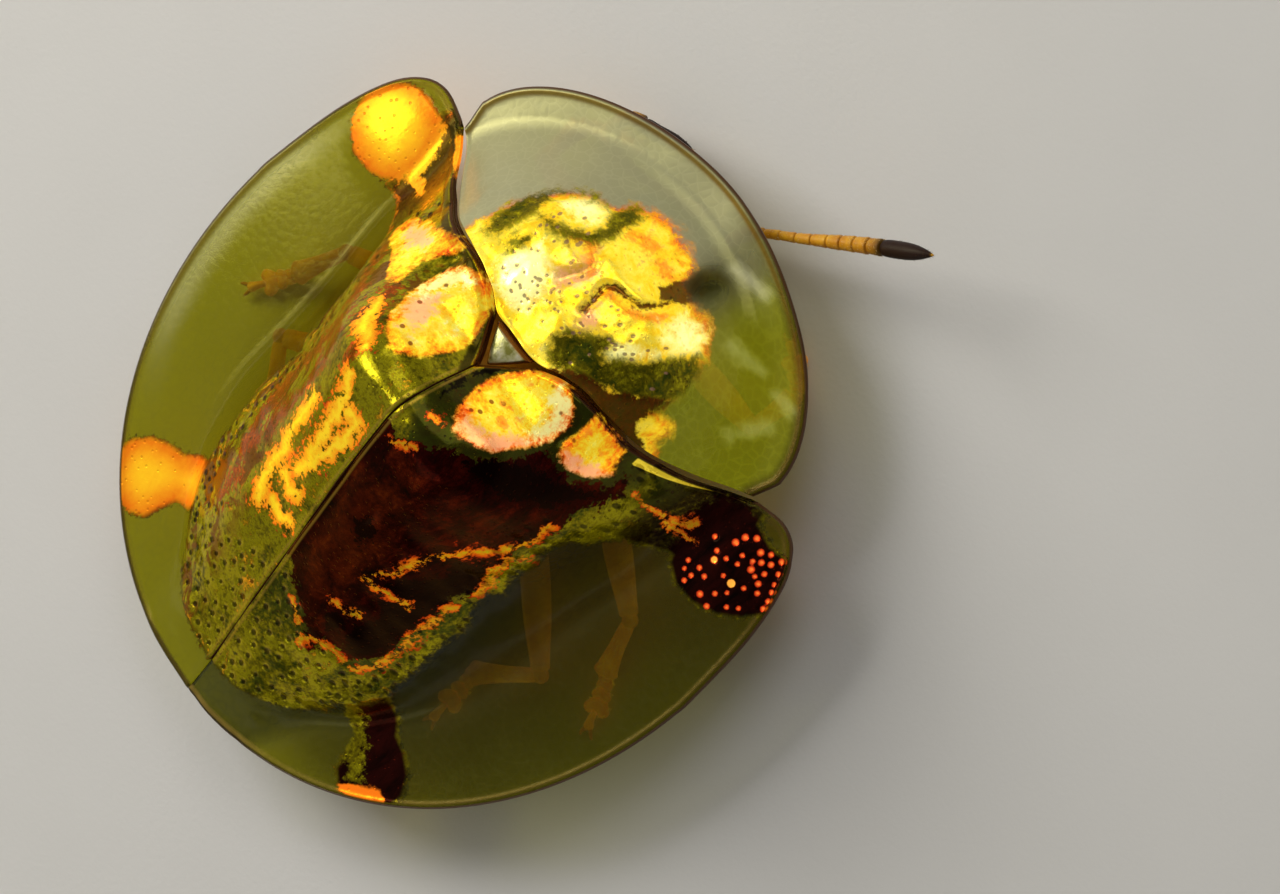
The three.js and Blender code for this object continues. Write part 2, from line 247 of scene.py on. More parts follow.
def shield_across(x, y):
    return np.hypot(x / SHIELD_DISC[0], np.clip(LOBE_Y - y, 0, None) / SHIELD_DISC[1])


def shield_top(x, y):
    rise = margin_rise(x, y)
    return MARGIN_Z + rise + (SHIELD_HUMP - rise) * dome(shield_across(x, y))


print("hump height above the floor:", round(float(cover_top(0.0, -1.05)), 2), "mm")

# %% [markdown]
# The camera
#
# The picture is taken from above and a little in front, from the beetle's right.
# A long lens far away keeps the view nearly parallel. The camera is placed by two
# things: the direction it looks along, and the spot on the shell in the middle of
# the picture. Its roll comes from the picture's own up direction.

# %% Camera
LOOK_RIGHT = np.array([-0.598, -0.716, -0.362])
LOOK_UP = np.array([0.772, -0.635, -0.019])
PICTURE_CENTRE = (-2.145, -2.422)
CAMERA_DISTANCE = 200.0
PIXELS_PER_MM = 58.4
PICTURE_WIDTH = 1280
SENSOR = 36.0
NEAREST, FARTHEST = 0.01, 10.0


def unit(v):
    return np.asarray(v, float) / np.linalg.norm(v)


def stand(right, up, back, place):
    """The matrix of an object that stands at a place with its three axes turned so."""
    rows = np.eye(4)
    rows[:3, 0], rows[:3, 1], rows[:3, 2], rows[:3, 3] = right, up, back, place
    return Matrix(rows)


def build_camera():
    right = unit(LOOK_RIGHT)
    back = unit(np.cross(right, LOOK_UP))
    up = np.cross(back, right)
    target = to_frame([*PICTURE_CENTRE, MARGIN_Z])[0]
    place = target + back * CAMERA_DISTANCE * MM
    data = bpy.data.cameras.new("camera")
    data.sensor_width = SENSOR
    data.lens = SENSOR * PIXELS_PER_MM * CAMERA_DISTANCE / PICTURE_WIDTH
    data.clip_start, data.clip_end = NEAREST, FARTHEST
    camera = bpy.data.objects.new("camera", data)
    bpy.context.scene.collection.objects.link(camera)
    camera.matrix_world = stand(right, up, back, place)
    bpy.context.scene.camera = camera
    tilt = math.degrees(math.asin(back[2]))
    print("camera looks down at", round(tilt, 1), "degrees, lens", round(data.lens))


build_camera()

# %% [markdown]
# A small language for finishes
#
# A material in Blender is a sheet of nodes. Written by hand in Python, every sum
# would take five lines. Here a Wire stands for one output on the sheet, and
# ordinary arithmetic on wires adds the Math nodes. Anything else comes from one
# method that takes the node's type, its settings and what goes into its sockets.

# %% Wires and sheets
class Wire:
    """One output socket on a sheet of nodes, with arithmetic."""

    def __init__(self, sheet, socket):
        self.sheet = sheet
        self.socket = socket

    def _math(self, operation, first, second=0.0):
        return self.sheet.node("ShaderNodeMath", {"operation": operation}, {0: first, 1: second})

    def __add__(self, other):
        return self._math("ADD", self, other)

    def __sub__(self, other):
        return self._math("SUBTRACT", self, other)

    def __rsub__(self, other):
        return self._math("SUBTRACT", other, self)

    def __mul__(self, other):
        return self._math("MULTIPLY", self, other)

    __radd__ = __add__
    __rmul__ = __mul__

    def most(self, other):
        return self._math("MAXIMUM", self, other)


class Sheet:
    """The node sheet of one material."""

    def __init__(self, name):
        self.material = bpy.data.materials.new(name)
        self.material.use_nodes = True
        self.tree = self.material.node_tree
        self.tree.nodes.clear()

    def node(self, kind, settings=None, inputs=None, output=0):
        made = self.tree.nodes.new(kind)
        for key, value in (settings or {}).items():
            if key == "stops":
                elements = made.color_ramp.elements
                while len(elements) < len(value):
                    elements.new(0.5)
                for element, (place, colour) in zip(elements, value):
                    element.position = place
                    element.color = (*colour, 1.0)
            else:
                setattr(made, key, value)
        for key, value in (inputs or {}).items():
            socket = made.inputs[key]
            if isinstance(value, Wire):
                self.tree.links.new(value.socket, socket)
            elif isinstance(value, tuple) and socket.type == "RGBA":
                socket.default_value = (*value, 1.0)
            else:
                socket.default_value = value
        return Wire(self, made.outputs[output])

    def place(self, stretch=(1.0, 1.0, 1.0)):
        """Where a point is on the object, in millimetres, stretched along an axis if wanted."""
        spot = self.node("ShaderNodeTexCoord", output="Object")
        size = tuple(s / MM for s in stretch)
        return self.node("ShaderNodeVectorMath", {"operation": "MULTIPLY"}, {0: spot, 1: size})

    def value(self, name):
        """A number that was stored on the mesh's points."""
        return self.node("ShaderNodeAttribute", {"attribute_name": name}, output="Fac")

    def noise(self, scale, detail=2.0, roughness=0.5, where=None, distortion=0.0):
        return self.node("ShaderNodeTexNoise", {}, {
            "Vector": where or self.place(), "Scale": scale, "Detail": detail,
            "Roughness": roughness, "Distortion": distortion})

    def swing(self, scale, detail=3.0, roughness=0.6, where=None, distortion=0.0):
        """Noise that swings about zero, mostly between -1 and 1."""
        return (self.noise(scale, detail, roughness, where, distortion) - 0.5) * 4.5

    def cells(self, scale, feature="F1", randomness=1.0):
        """Distance to the middle of the nearest cell, or to the nearest edge of one."""
        return self.node("ShaderNodeTexVoronoi", {"feature": feature}, {
            "Vector": self.place(), "Scale": scale, "Randomness": randomness}, output="Distance")

    def ramp(self, value, stops):
        return self.node("ShaderNodeValToRGB", {"stops": stops}, {0: value})

    def step(self, value, low, high):
        """Smooth step of a wire, from 0 at low to 1 at high."""
        return self.node("ShaderNodeMapRange", {"interpolation_type": "SMOOTHSTEP"},
                         {0: value, 1: low, 2: high, 3: 0.0, 4: 1.0})

    def blend(self, share, first, second):
        """Two colours mixed: the first where share is 0, the second where it is 1."""
        return self.node("ShaderNodeMix", {"data_type": "RGBA"}, {0: share, 6: first, 7: second}, output=2)

    def bump(self, height, distance, strength):
        inputs = {"Height": height, "Distance": distance * MM, "Strength": strength}
        return self.node("ShaderNodeBump", {}, inputs, output="Normal")

    def surface(self, **sockets):
        names = {key.replace("_", " "): value for key, value in sockets.items()}
        return self.node("ShaderNodeBsdfPrincipled", {}, names)

    def mixed(self, share, first, second):
        """Two shaders: the first where share is 0, the second where it is 1."""
        return self.node("ShaderNodeMixShader", {}, {0: share, 1: first, 2: second})

    def finish(self, shader):
        end = self.tree.nodes.new("ShaderNodeOutputMaterial")
        self.tree.links.new(shader.socket, end.inputs["Surface"])
        return self.material


# %% [markdown]
# Making meshes
#
# Each plate is a grid of plan points with an upper sheet and a lower sheet, sewn
# together round the rim. Numbers that the finish needs later, such as how far a
# point is from the edge, are stored on the mesh's points.

# %% Mesh helpers
def make_piece(name, points, faces, material, node, values):
    """A mesh in shell plan millimetres, riding on the beetle and standing for a frame node."""
    mesh = bpy.data.meshes.new(name)
    points = to_frame(points)
    loops = np.concatenate([block.ravel() for block in faces]).astype(np.int32)
    sizes = np.concatenate([np.full(len(block), block.shape[1]) for block in faces]).astype(np.int32)
    mesh.vertices.add(len(points))
    mesh.vertices.foreach_set("co", points.ravel().astype(np.float32))
    mesh.loops.add(len(loops))
    mesh.loops.foreach_set("vertex_index", loops)
    mesh.polygons.add(len(sizes))
    starts = np.concatenate([[0], np.cumsum(sizes)[:-1]]).astype(np.int32)
    mesh.polygons.foreach_set("loop_start", starts)
    mesh.polygons.foreach_set("loop_total", sizes)
    mesh.update(calc_edges=True)
    mesh.validate()
    mesh.shade_smooth()
    for key, data in values.items():
        attribute = mesh.attributes.new(key, "FLOAT", "POINT")
        attribute.data.foreach_set("value", np.asarray(data, np.float32).ravel())
    mesh.materials.append(material)
    piece = bpy.data.objects.new(name, mesh)
    bpy.context.scene.collection.objects.link(piece)
    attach(piece, "root")
    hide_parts(node)


def rim_loop(rows, cols):
    """Grid places once round the border."""
    near = [(0, j) for j in range(cols - 1)]
    right = [(i, cols - 1) for i in range(rows - 1)]
    far = [(rows - 1, j) for j in range(cols - 1, 0, -1)]
    left = [(i, 0) for i in range(rows - 1, 0, -1)]
    return near + right + far + left


def plate_faces(rows, cols, flip):
    """Quads of an upper sheet, a lower sheet and the rim between them."""
    index = np.arange(rows * cols).reshape(rows, cols)
    quads = np.stack([index[:-1, :-1], index[:-1, 1:], index[1:, 1:], index[1:, :-1]], -1).reshape(-1, 4)
    below = quads[:, ::-1] + rows * cols
    loop = np.array([index[i, j] for i, j in rim_loop(rows, cols)])
    after = np.roll(loop, -1)
    rim = np.stack([after, loop, loop + rows * cols, after + rows * cols], -1)
    faces = np.concatenate([quads, below, rim])
    return faces[:, ::-1] if flip else faces


def patch_grid(near, far, left, right, u, v):
    """Plan points filled in between four edge curves."""
    u_row = u[None, :, None]
    v_col = v[:, None, None]
    ends = near(u)[None] * (1 - v_col) + far(u)[None] * v_col
    sides = left(v)[:, None] * (1 - u_row) + right(v)[:, None] * u_row
    corners = ((near(0.0) * (1 - u_row) + near(1.0) * u_row) * (1 - v_col)
               + (far(0.0) * (1 - u_row) + far(1.0) * u_row) * v_col)
    return ends + sides - corners


def line_distance(points, line):
    """Distance from plan points to a line through given points."""
    line = np.asarray(line, float)
    best = np.full(len(points), 1e9)
    for start, end in zip(line[:-1], line[1:]):
        way = end - start
        t = np.clip(((points - start) @ way) / max(way @ way, 1e-12), 0, 1)
        best = np.minimum(best, np.hypot(*(points - start - t[:, None] * way).T))
    return best


def inside_by(points, outline):
    """Millimetres inside a closed outline, below zero outside it."""
    outline = np.asarray(outline, float)
    closed = np.concatenate([outline, outline[:1]])
    inside = np.zeros(len(points), bool)
    x, y = points.T
    for (x0, y0), (x1, y1) in zip(closed[:-1], closed[1:]):
        if y0 != y1:
            crosses = (y0 > y) != (y1 > y)
            inside ^= crosses & (x < (x1 - x0) * (y - y0) / (y1 - y0) + x0)
    distance = line_distance(points, closed)
    return np.where(inside, distance, -distance)


NOWHERE = -9.0


def marked(points, outlines=(), strokes=(), width=0.0):
    """One field for a set of closed marks and open strokes, above zero on them."""
    fields = [inside_by(points, outline) for outline in outlines]
    fields += [width - line_distance(points, stroke) for stroke in strokes]
    return np.maximum.reduce(fields) if fields else np.full(len(points), NOWHERE)


def both_sheets(x, y, top, rim, thick):
    """Points of a plate's upper and lower sheet. It thins towards the rim, behind a small bead."""
    thick = thick + 0.05 * bell(rim - 0.06, 0.06)
    under = top - thick * (0.35 + 0.65 * step(0.0, 0.06, rim))
    return np.concatenate([np.stack([x, y, top], 1), np.stack([x, y, under], 1)])


def for_both(values):
    """Stored numbers repeated for the lower sheet, and one number that tells the sheets apart."""
    both = {key: np.concatenate([data, data]) for key, data in values.items()}
    both["under"] = np.repeat([0.0, 1.0], len(values["rim"]))
    return both


# %% [markdown]
# Floor and light
#
# A pale floor and soft light, as in a plain studio. Polished gold shows what is
# round it, so the light's shape matters as much as its strength: a soft panel on
# the beetle's left, a smaller one high in front, and a calmer right side leave one
# flank bright and the other deep red. The film's colours carry painted light as
# well: painted highlights on the left flank and painted shade on the right one.

# %% Floor, world and lights
FLOOR_HALF = 2.0
WORLD_DARK, WORLD_BRIGHT = 0.10, 0.36
WORLD_BRIGHT_SIDE = (0.85, 0.25, 0.35)
PANEL_TARGET = (0, 0, 2.0)


def build_floor():
    sheet = Sheet("floor_paper")
    tone = sheet.noise(0.35, 3.0)
    colour = sheet.blend(tone, (0.66, 0.65, 0.62), (0.70, 0.69, 0.66))
    grain = sheet.noise(9.0, 4.0)
    shader = sheet.surface(Base_Color=colour, Roughness=0.75, Normal=sheet.bump(grain, 0.02, 0.25))
    corners = [(x * FLOOR_HALF, y * FLOOR_HALF, 0) for x, y in ((-1, -1), (1, -1), (1, 1), (-1, 1))]
    mesh = bpy.data.meshes.new("floor")
    mesh.from_pydata(corners, [], [(0, 1, 2, 3)])
    mesh.materials.append(sheet.finish(shader))
    floor = bpy.data.objects.new("floor", mesh)
    bpy.context.scene.collection.objects.link(floor)


def build_world():
    """A soft room, brighter on one side."""
    world = bpy.data.worlds.new("studio")
    bpy.context.scene.world = world
    world.use_nodes = True
    tree = world.node_tree
    tree.nodes.clear()
    spot = tree.nodes.new("ShaderNodeTexCoord")
    facing = tree.nodes.new("ShaderNodeVectorMath")
    facing.operation = "DOT_PRODUCT"
    facing.inputs[1].default_value = tuple(unit(WORLD_BRIGHT_SIDE))
    tree.links.new(spot.outputs["Generated"], facing.inputs[0])
    level = tree.nodes.new("ShaderNodeMapRange")
    level.interpolation_type = "SMOOTHSTEP"
    for socket, value in zip(list(level.inputs)[1:5], (-0.5, 0.95, WORLD_DARK, WORLD_BRIGHT)):
        socket.default_value = value
    tree.links.new(facing.outputs["Value"], level.inputs[0])
    light = tree.nodes.new("ShaderNodeBackground")
    light.inputs["Color"].default_value = (1.0, 0.985, 0.96, 1.0)
    tree.links.new(level.outputs[0], light.inputs["Strength"])
    end = tree.nodes.new("ShaderNodeOutputWorld")
    tree.links.new(light.outputs[0], end.inputs["Surface"])


def soft_panel(name, direction, distance, width, height, radiance, colour, gloss=True, spread=True):
    """A rectangular light that faces the beetle: for mirror images, for even light, or for both."""
    data = bpy.data.lights.new(name, "AREA")
    data.shape = "RECTANGLE"
    data.size = width * MM
    data.size_y = height * MM
    data.energy = radiance * math.pi * width * height * MM * MM
    data.color = colour
    lamp = bpy.data.objects.new(name, data)
    bpy.context.scene.collection.objects.link(lamp)
    back = unit(direction)
    across = unit(np.cross((0, 0, 1), back))
    up = np.cross(back, across)
    spot = to_frame(PANEL_TARGET)[0] + back * distance * MM
    lamp.matrix_world = stand(across, up, back, spot)
    lamp.visible_camera = False
    lamp.visible_glossy = gloss
    lamp.visible_diffuse = spread


bpy.context.scene.view_settings.view_transform = "Standard"
build_floor()
build_world()
soft_panel("even_left", (0.80, 0.05, 0.56), 120, 74, 54, 9.5, (1.0, 0.97, 0.92), gloss=False)
soft_panel("even_front", (0.25, -0.62, 0.76), 120, 60, 40, 2.4, (1.0, 0.97, 0.93), gloss=False)
soft_panel("mirror_left", (0.80, 0.05, 0.60), 120, 110, 70, 1.7, (1.0, 0.96, 0.60), spread=False)
soft_panel("mirror_high", (0.62, 0.10, 0.77), 120, 60, 50, 3.8, (1.0, 0.96, 0.62), spread=False)
soft_panel("mirror_front", (0.10, -0.80, 0.45), 120, 100, 60, 1.2, (1.0, 0.96, 0.62), spread=False)
soft_panel("mirror_back", (-0.35, 0.85, 0.40), 140, 90, 40, 0.7, (1.0, 0.96, 0.70), spread=False)
print("studio ready")

# %% [markdown]
# Marks of the gold film
#
# Under the clear horn of the shell lies a mirror film. Its edge, the four dark
# patches that run out across the clear brim, and the streaks and fields of other
# colours on it are given as outlines in the shell's plan, drawn like the pattern
# pieces of a map. Some marks are painted light: the bright ovals behind the
# pronotum and the rim spots are painted highlights, and the dark fields of the
# right flank are painted shade. From them come numbers on the mesh's points: how
# many millimetres a point lies inside a mark. The finish adds fine noise to these
# numbers, so each mark gets the ragged edge that real film has.

# %% Outlines of the marks
FILM_EDGE = [
    (-0.5, -4.2), (3.15, -4.2), (3.1, -2.9), (3.26, -2.38), (3.5, -1.9), (3.5, -1.57), (3.33, -1.39),
    (3.17, -1.07), (2.98, -0.95), (2.87, -0.53), (2.9, -0.19), (2.8, 0.24), (2.84, 0.6), (2.68, 0.8),
    (2.72, 1.16), (2.8, 1.6), (2.76, 2.2), (2.72, 2.8), (2.67, 3.3), (2.6, 3.75), (2.4, 4.15), (2.2, 4.45),
    (1.98, 4.91), (1.7, 5.3), (1.4, 5.56), (1.0, 5.76), (0.6, 5.93), (-0.5, 6.05)]
SHOULDER_STEM = [
    (2.8, -4.2), (4.3, -4.2), (4.62, -3.2), (4.3, -1.75), (3.9, -1.72), (3.5, -1.5), (3.1, -1.4)]
SHOULDER_PATCH = [
    (3.7, -2.67), (3.85, -3.15), (4.25, -3.32), (4.6, -3.3), (5.0, -3.22), (5.4, -3.3), (5.75, -2.9),
    (5.9, -2.46), (5.6, -1.98), (5.25, -1.66), (4.8, -1.46), (4.39, -1.43), (4.02, -1.61), (3.9, -1.85)]
SHOULDER_DISC = [(4.9 + 0.86 * math.cos(turn), -2.45 + 0.86 * math.sin(turn))
                 for turn in np.linspace(0, 6.0, 20)]
# Painted highlights: bright spots on the rims of the shoulder and rear patches.
RIM_HIGHLIGHT_LEFT = [
    [(3.35, -3.12), (3.62, -3.2), (3.95, -3.3)],
    [(3.75, -2.3), (4.0, -2.2)]]
RIM_HIGHLIGHT_RIGHT = [
    [(3.05, 5.6), (3.6, 5.1), (3.95, 5.2), (3.5, 5.8), (3.1, 5.9)]]
REAR_STRIP = [
    [(1.9, 4.3), (2.2, 4.15), (2.75, 4.7), (3.35, 5.3), (3.15, 5.5), (2.55, 5.05), (2.1, 4.6)]]
REAR_PATCH = [
    (2.1, 4.2), (2.6, 3.7), (2.95, 3.95), (3.15, 4.2), (3.45, 4.28), (3.8, 4.5), (4.02, 4.85), (4.0, 5.2),
    (3.75, 5.5), (3.45, 5.7), (3.1, 5.72), (2.8, 5.5), (2.7, 5.15), (2.6, 4.85), (2.3, 4.7)]
# Painted highlights: the bright ovals on the bulges behind the pronotum, with their pink and cream parts.
GLOW_OVAL = [
    (0.45, -1.86), (0.32, -2.09), (0.4, -2.36), (0.58, -2.67), (0.75, -2.9), (0.99, -3.02), (1.3, -3.0),
    (1.55, -2.85), (1.72, -2.6), (1.78, -2.3), (1.73, -2.04), (1.6, -1.79), (1.45, -1.59), (1.28, -1.5),
    (1.03, -1.42), (0.81, -1.45), (0.64, -1.58), (0.5, -1.68)]
GLOW_LOW = [
    (1.86, -2.98), (2.06, -2.96), (2.28, -2.93), (2.51, -2.84), (2.6, -2.63), (2.66, -2.37), (2.58, -2.2),
    (2.45, -2.09), (2.24, -2.07), (1.98, -2.15), (1.9, -2.32), (1.89, -2.54)]
GLOW_LOW_LEFT = [
    (2.82, -1.76), (3.25, -1.6), (3.35, -1.85), (3.12, -2.25), (2.64, -2.62), (2.12, -2.95), (1.86, -2.98),
    (1.86, -2.8), (2.0, -2.55), (2.18, -2.23), (2.05, -2.05), (2.01, -1.83), (2.25, -1.68), (2.55, -1.71)]
GLOW_PINK = [
    [(0.6, -1.72), (0.8, -1.5), (1.05, -1.42), (1.3, -1.5), (1.55, -1.75), (1.66, -2.05), (1.4, -1.95),
     (1.15, -1.75), (0.85, -1.7)],
    [(2.0, -2.2), (2.24, -2.07), (2.5, -2.1), (2.64, -2.35), (2.35, -2.3)]]
GLOW_PINK_LEFT = [
    [(1.0, -1.85), (1.35, -1.72), (1.55, -1.85), (1.58, -2.15), (1.35, -2.3), (1.05, -2.15)],
    [(2.7, -1.95), (3.0, -1.9), (3.1, -2.1), (2.6, -2.5), (2.3, -2.6), (2.35, -2.35)]]
GLOW_CREAM = [
    [(1.1, -2.95), (1.5, -2.8), (1.72, -2.5), (1.72, -2.1), (1.5, -2.05), (1.45, -2.5), (1.2, -2.7)]]
# Painted shade: the right flank's field of dark reflections, painted maroon.
DARK_REFLECTION_FIELD = [
    (-0.3, -0.8), (0.34, -0.7), (0.74, -0.92), (1.11, -1.23), (1.54, -1.42), (1.78, -1.82), (1.87, -2.08),
    (2.2, -1.95), (2.45, -1.93), (2.72, -2.13), (2.8, -2.45), (2.95, -2.18), (2.9, -1.85), (2.83, -1.55),
    (2.83, -1.08), (2.8, -0.63), (2.66, -0.22), (2.68, 0.12), (2.62, 0.43), (2.64, 0.8), (2.52, 1.09),
    (2.46, 1.51), (2.42, 2.09), (2.34, 2.69), (2.24, 3.25), (1.98, 3.62), (1.69, 3.52), (1.45, 3.6),
    (1.32, 4.05), (1.11, 3.9), (0.9, 3.55), (0.5, 3.35), (0.2, 3.0), (-0.3, 2.9)]
# Painted shade: nearly black reflections on the right flank.
BLACK_REFLECTIONS = [
    [(1.66, 1.99), (1.76, 1.49), (2.14, 1.0), (2.2, 0.5), (2.47, 0.2), (2.62, 0.4), (2.6, 0.8), (2.5, 1.1),
     (2.42, 1.66), (2.33, 2.34), (2.22, 2.95), (2.02, 3.4), (1.8, 3.45), (1.62, 3.2), (1.73, 2.8),
     (1.9, 2.36)],
    [(0.62, 1.29), (0.82, 0.85), (1.06, 1.08), (0.92, 1.52)],
    [(1.17, 3.14), (1.45, 2.85), (1.6, 3.04), (1.36, 3.4)],
    [(1.41, -1.2), (1.82, -1.76), (2.3, -1.82), (2.74, -1.9), (2.6, -1.4), (1.99, -1.1)],
    [(0.35, -1.5), (0.2, -1.9), (0.3, -2.4), (0.5, -2.9), (0.1, -2.6), (0.05, -1.8)]]
# Painted shadow: darker mottled fields on the right cover, by its shoulder and behind the pronotum.
PAINTED_SHADOWS = [
    [(2.95, -2.9), (3.4, -3.05), (4.0, -3.2), (4.0, -2.0), (3.7, -1.75), (3.4, -1.9), (3.15, -2.25)],
    [(0.02, -1.2), (0.02, -3.2), (0.6, -3.3), (1.6, -3.4), (2.9, -3.4), (3.0, -2.6), (2.9, -2.0),
     (1.9, -1.6), (1.3, -1.2), (0.7, -0.85)]]
FIRE_RIGHT = [
    [(2.73, -1.08), (2.72, -0.63), (2.53, -0.19), (2.25, 0.15), (1.98, 0.6), (1.85, 0.9), (1.69, 1.36),
     (1.53, 1.69), (1.38, 1.79)],
    [(1.28, 1.99), (1.64, 1.96), (1.93, 1.83), (2.12, 1.82)],
    [(1.14, 2.85), (1.41, 2.79), (1.62, 2.62)],
    [(1.08, 4.02), (1.37, 3.67), (1.66, 3.68), (2.0, 3.68), (2.27, 3.3), (2.37, 2.73), (2.45, 1.95),
     (2.5, 1.35)],
    [(2.8, -0.3), (2.57, 0.02), (2.63, 0.4), (2.6, 0.92)],
    [(0.43, -1.34), (0.63, -1.34)],
    [(0.31, -0.52), (0.72, -0.8)],
    [(3.05, -2.3), (3.4, -2.22), (3.74, -2.14), (4.1, -2.2)],
    [(3.57, -2.17), (3.87, -2.5)],
    [(0.55, 3.5), (0.9, 3.75), (1.1, 4.1)]]
FIRE_LEFT = [
    [(1.08, -0.58), (0.85, -0.25), (0.78, 0.19), (0.7, 0.79), (0.66, 1.33)],
    [(1.37, 0.33), (1.3, 0.65), (1.29, 1.19), (1.25, 1.47)],
    [(1.18, 1.46), (1.23, 1.94), (1.19, 2.44), (1.02, 2.77)],
    [(0.95, 1.87), (0.7, 2.04), (0.45, 1.9)],
    [(0.8, 2.5), (0.55, 2.56), (0.3, 2.5)],
    [(1.82, -1.47), (1.7, -1.24), (1.38, -1.21)],
    [(0.72, 1.58), (0.5, 0.83), (0.35, 0.31), (0.35, -0.1), (0.63, -0.13)]]
RED_LEFT = [
    [(1.97, -1.75), (1.39, -1.3), (1.25, -0.72)],
    [(1.8, 2.93), (2.15, 1.87), (2.28, 0.67), (2.1, -0.49), (2.2, -0.99), (2.74, -1.32), (3.05, -1.49)],
    [(1.7, 3.6), (1.9, 2.4), (1.75, 1.2), (1.7, 0.2), (1.9, -0.7)]]
# Pits on the right shoulder patch; their red-orange glow is painted light.
GLOWING_PITS = [
    (4.23, -1.92), (4.53, -2.3), (4.23, -2.56), (4.58, -2.96), (4.54, -2.78), (4.97, -1.92), (4.63, -1.97),
    (4.46, -1.79), (4.84, -2.25), (5.03, -2.27), (5.23, -2.38), (4.65, -2.48), (4.79, -2.73), (4.85, -2.57),
    (4.95, -3.0), (5.09, -3.11), (4.98, -2.8), (5.09, -2.9), (5.22, -3.0), (5.3, -3.17), (5.07, -2.69),
    (5.2, -2.66), (5.27, -2.81), (5.42, -2.99), (5.51, -2.82), (5.58, -2.7), (5.66, -2.55), (5.44, -2.5),
    (5.33, -2.62), (5.7, -2.4), (5.03, -1.65), (5.27, -1.92), (5.42, -2.07), (4.44, -2.44), (4.29, -1.77),
    (4.44, -1.63), (4.46, -2.0), (4.72, -3.1), (4.8, -1.7), (5.1, -2.1)]
BRIGHTEST_GLOWING_PITS = [
    (4.53, -2.3), (5.03, -2.27)]
print("marks on the film:", sum(map(len, (BLACK_REFLECTIONS, FIRE_RIGHT, FIRE_LEFT, RED_LEFT, PAINTED_SHADOWS, GLOW_PINK))) + 8)

# %% [markdown]
# The wing covers
#
# Each wing cover is one plate, a grid over half of the outline. The grid carries
# real relief: two bulges behind the pronotum that catch the light, low folds on
# the flank, a rope-like ridge where the dome ends, coarse pits along it and on the
# rear, and a rolled rim. Finer pits and scratches come from the finish.

# %% Relief of the wing covers
SEAM = 0.016
BASE_GAP = 0.05
NOTCH = 0.6
COVER_ROWS = 310
COVER_COLS = 170
# Each bulge: its middle, its two radii and its height; a dent has a height below zero.
BULGES = [((1.12, -2.2), (0.74, 0.66), 0.13), ((2.32, -2.45), (0.46, 0.5), 0.13),
          ((1.9, -1.15), (0.9, 0.3), -0.06), ((1.8, -2.55), (0.13, 0.4), -0.1),
          ((2.2, 0.4), (0.5, 1.0), -0.07), ((1.3, 2.3), (0.6, 0.9), -0.05), ((4.75, -2.4), (0.8, 0.7), 0.12)]

def cover_relief(x, y, side):
    """Height to add to the smooth dome, in millimetres."""
    ax = np.abs(x)
    t = cover_across(x, y)
    disc = 1 - step(0.95, 1.25, t)
    lift = np.zeros_like(ax)
    for (cx, cy), (rx, ry), height in BULGES:
        lift += height * np.exp(-(((ax - cx) / rx) ** 2 + ((y - cy) / ry) ** 2) ** 1.3)
    wave = noise(x * 0.9 + 7 * side, y * 0.55 + 3) * 0.10 + noise(x * 2.1, y * 1.3 + 9 * side) * 0.035
    flank = step(0.35, 0.6, t) * (1 - step(0.95, 1.15, t))
    folds = noise(x * 1.2 + 20, y * 2.4 + 5 * side) * 0.07 * flank
    costa = 0.10 * bell(t - 1.0 - 0.03 * np.sin(y * 2.1), 0.09) * (1 - step(4.6, 5.4, y))
    lumps = noise(x * 4.2, y * 4.2 + 2) * 0.03 * step(0.8, 1.0, t) * disc
    lip = 0.03 * bell(y - base_y(x) - 0.16, 0.10) * step(0.5, 0.9, ax)
    seam_ridge = 0.02 * bell(ax - 0.07, 0.07)
    return lift + (wave + folds + lumps) * disc + costa + lip + seam_ridge


def rim_roll(distance):
    """The rolled edge bead: a rounded thickening at the very rim."""
    return 0.025 * bell(distance - 0.07, 0.06) - 0.05 * (1 - step(0.0, 0.05, distance))


def sunk_border(distance):
    """How far the plate dips where it meets its neighbour."""
    return 0.05 * (1 - step(0.0, 0.05, distance))


def scatter(rng, low, high, spacing, tries=9000):
    """Random plan points that keep a distance from each other."""
    spots = []
    for spot in rng.uniform(low, high, (tries, 2)):
        if all((spot[0] - s[0]) ** 2 + (spot[1] - s[1]) ** 2 > spacing ** 2 for s in spots):
            spots.append(spot)
    return np.array(spots)


def pit_field(x, y, spots, radius):
    """Depth share of round pits at given spots: 1 in the middle of a pit, 0 outside."""
    depth = np.zeros_like(x)
    sizes = np.random.default_rng(8).uniform(0.75, 1.2, len(spots)) * radius
    for (sx, sy), size in zip(spots, sizes):
        near = np.abs(y - sy) < 3 * size
        d2 = (x[near] - sx) ** 2 + (y[near] - sy) ** 2
        depth[near] = np.maximum(depth[near], np.exp(-d2 / size ** 2))
    return depth


print("bulges and dents on each wing cover:", len(BULGES))


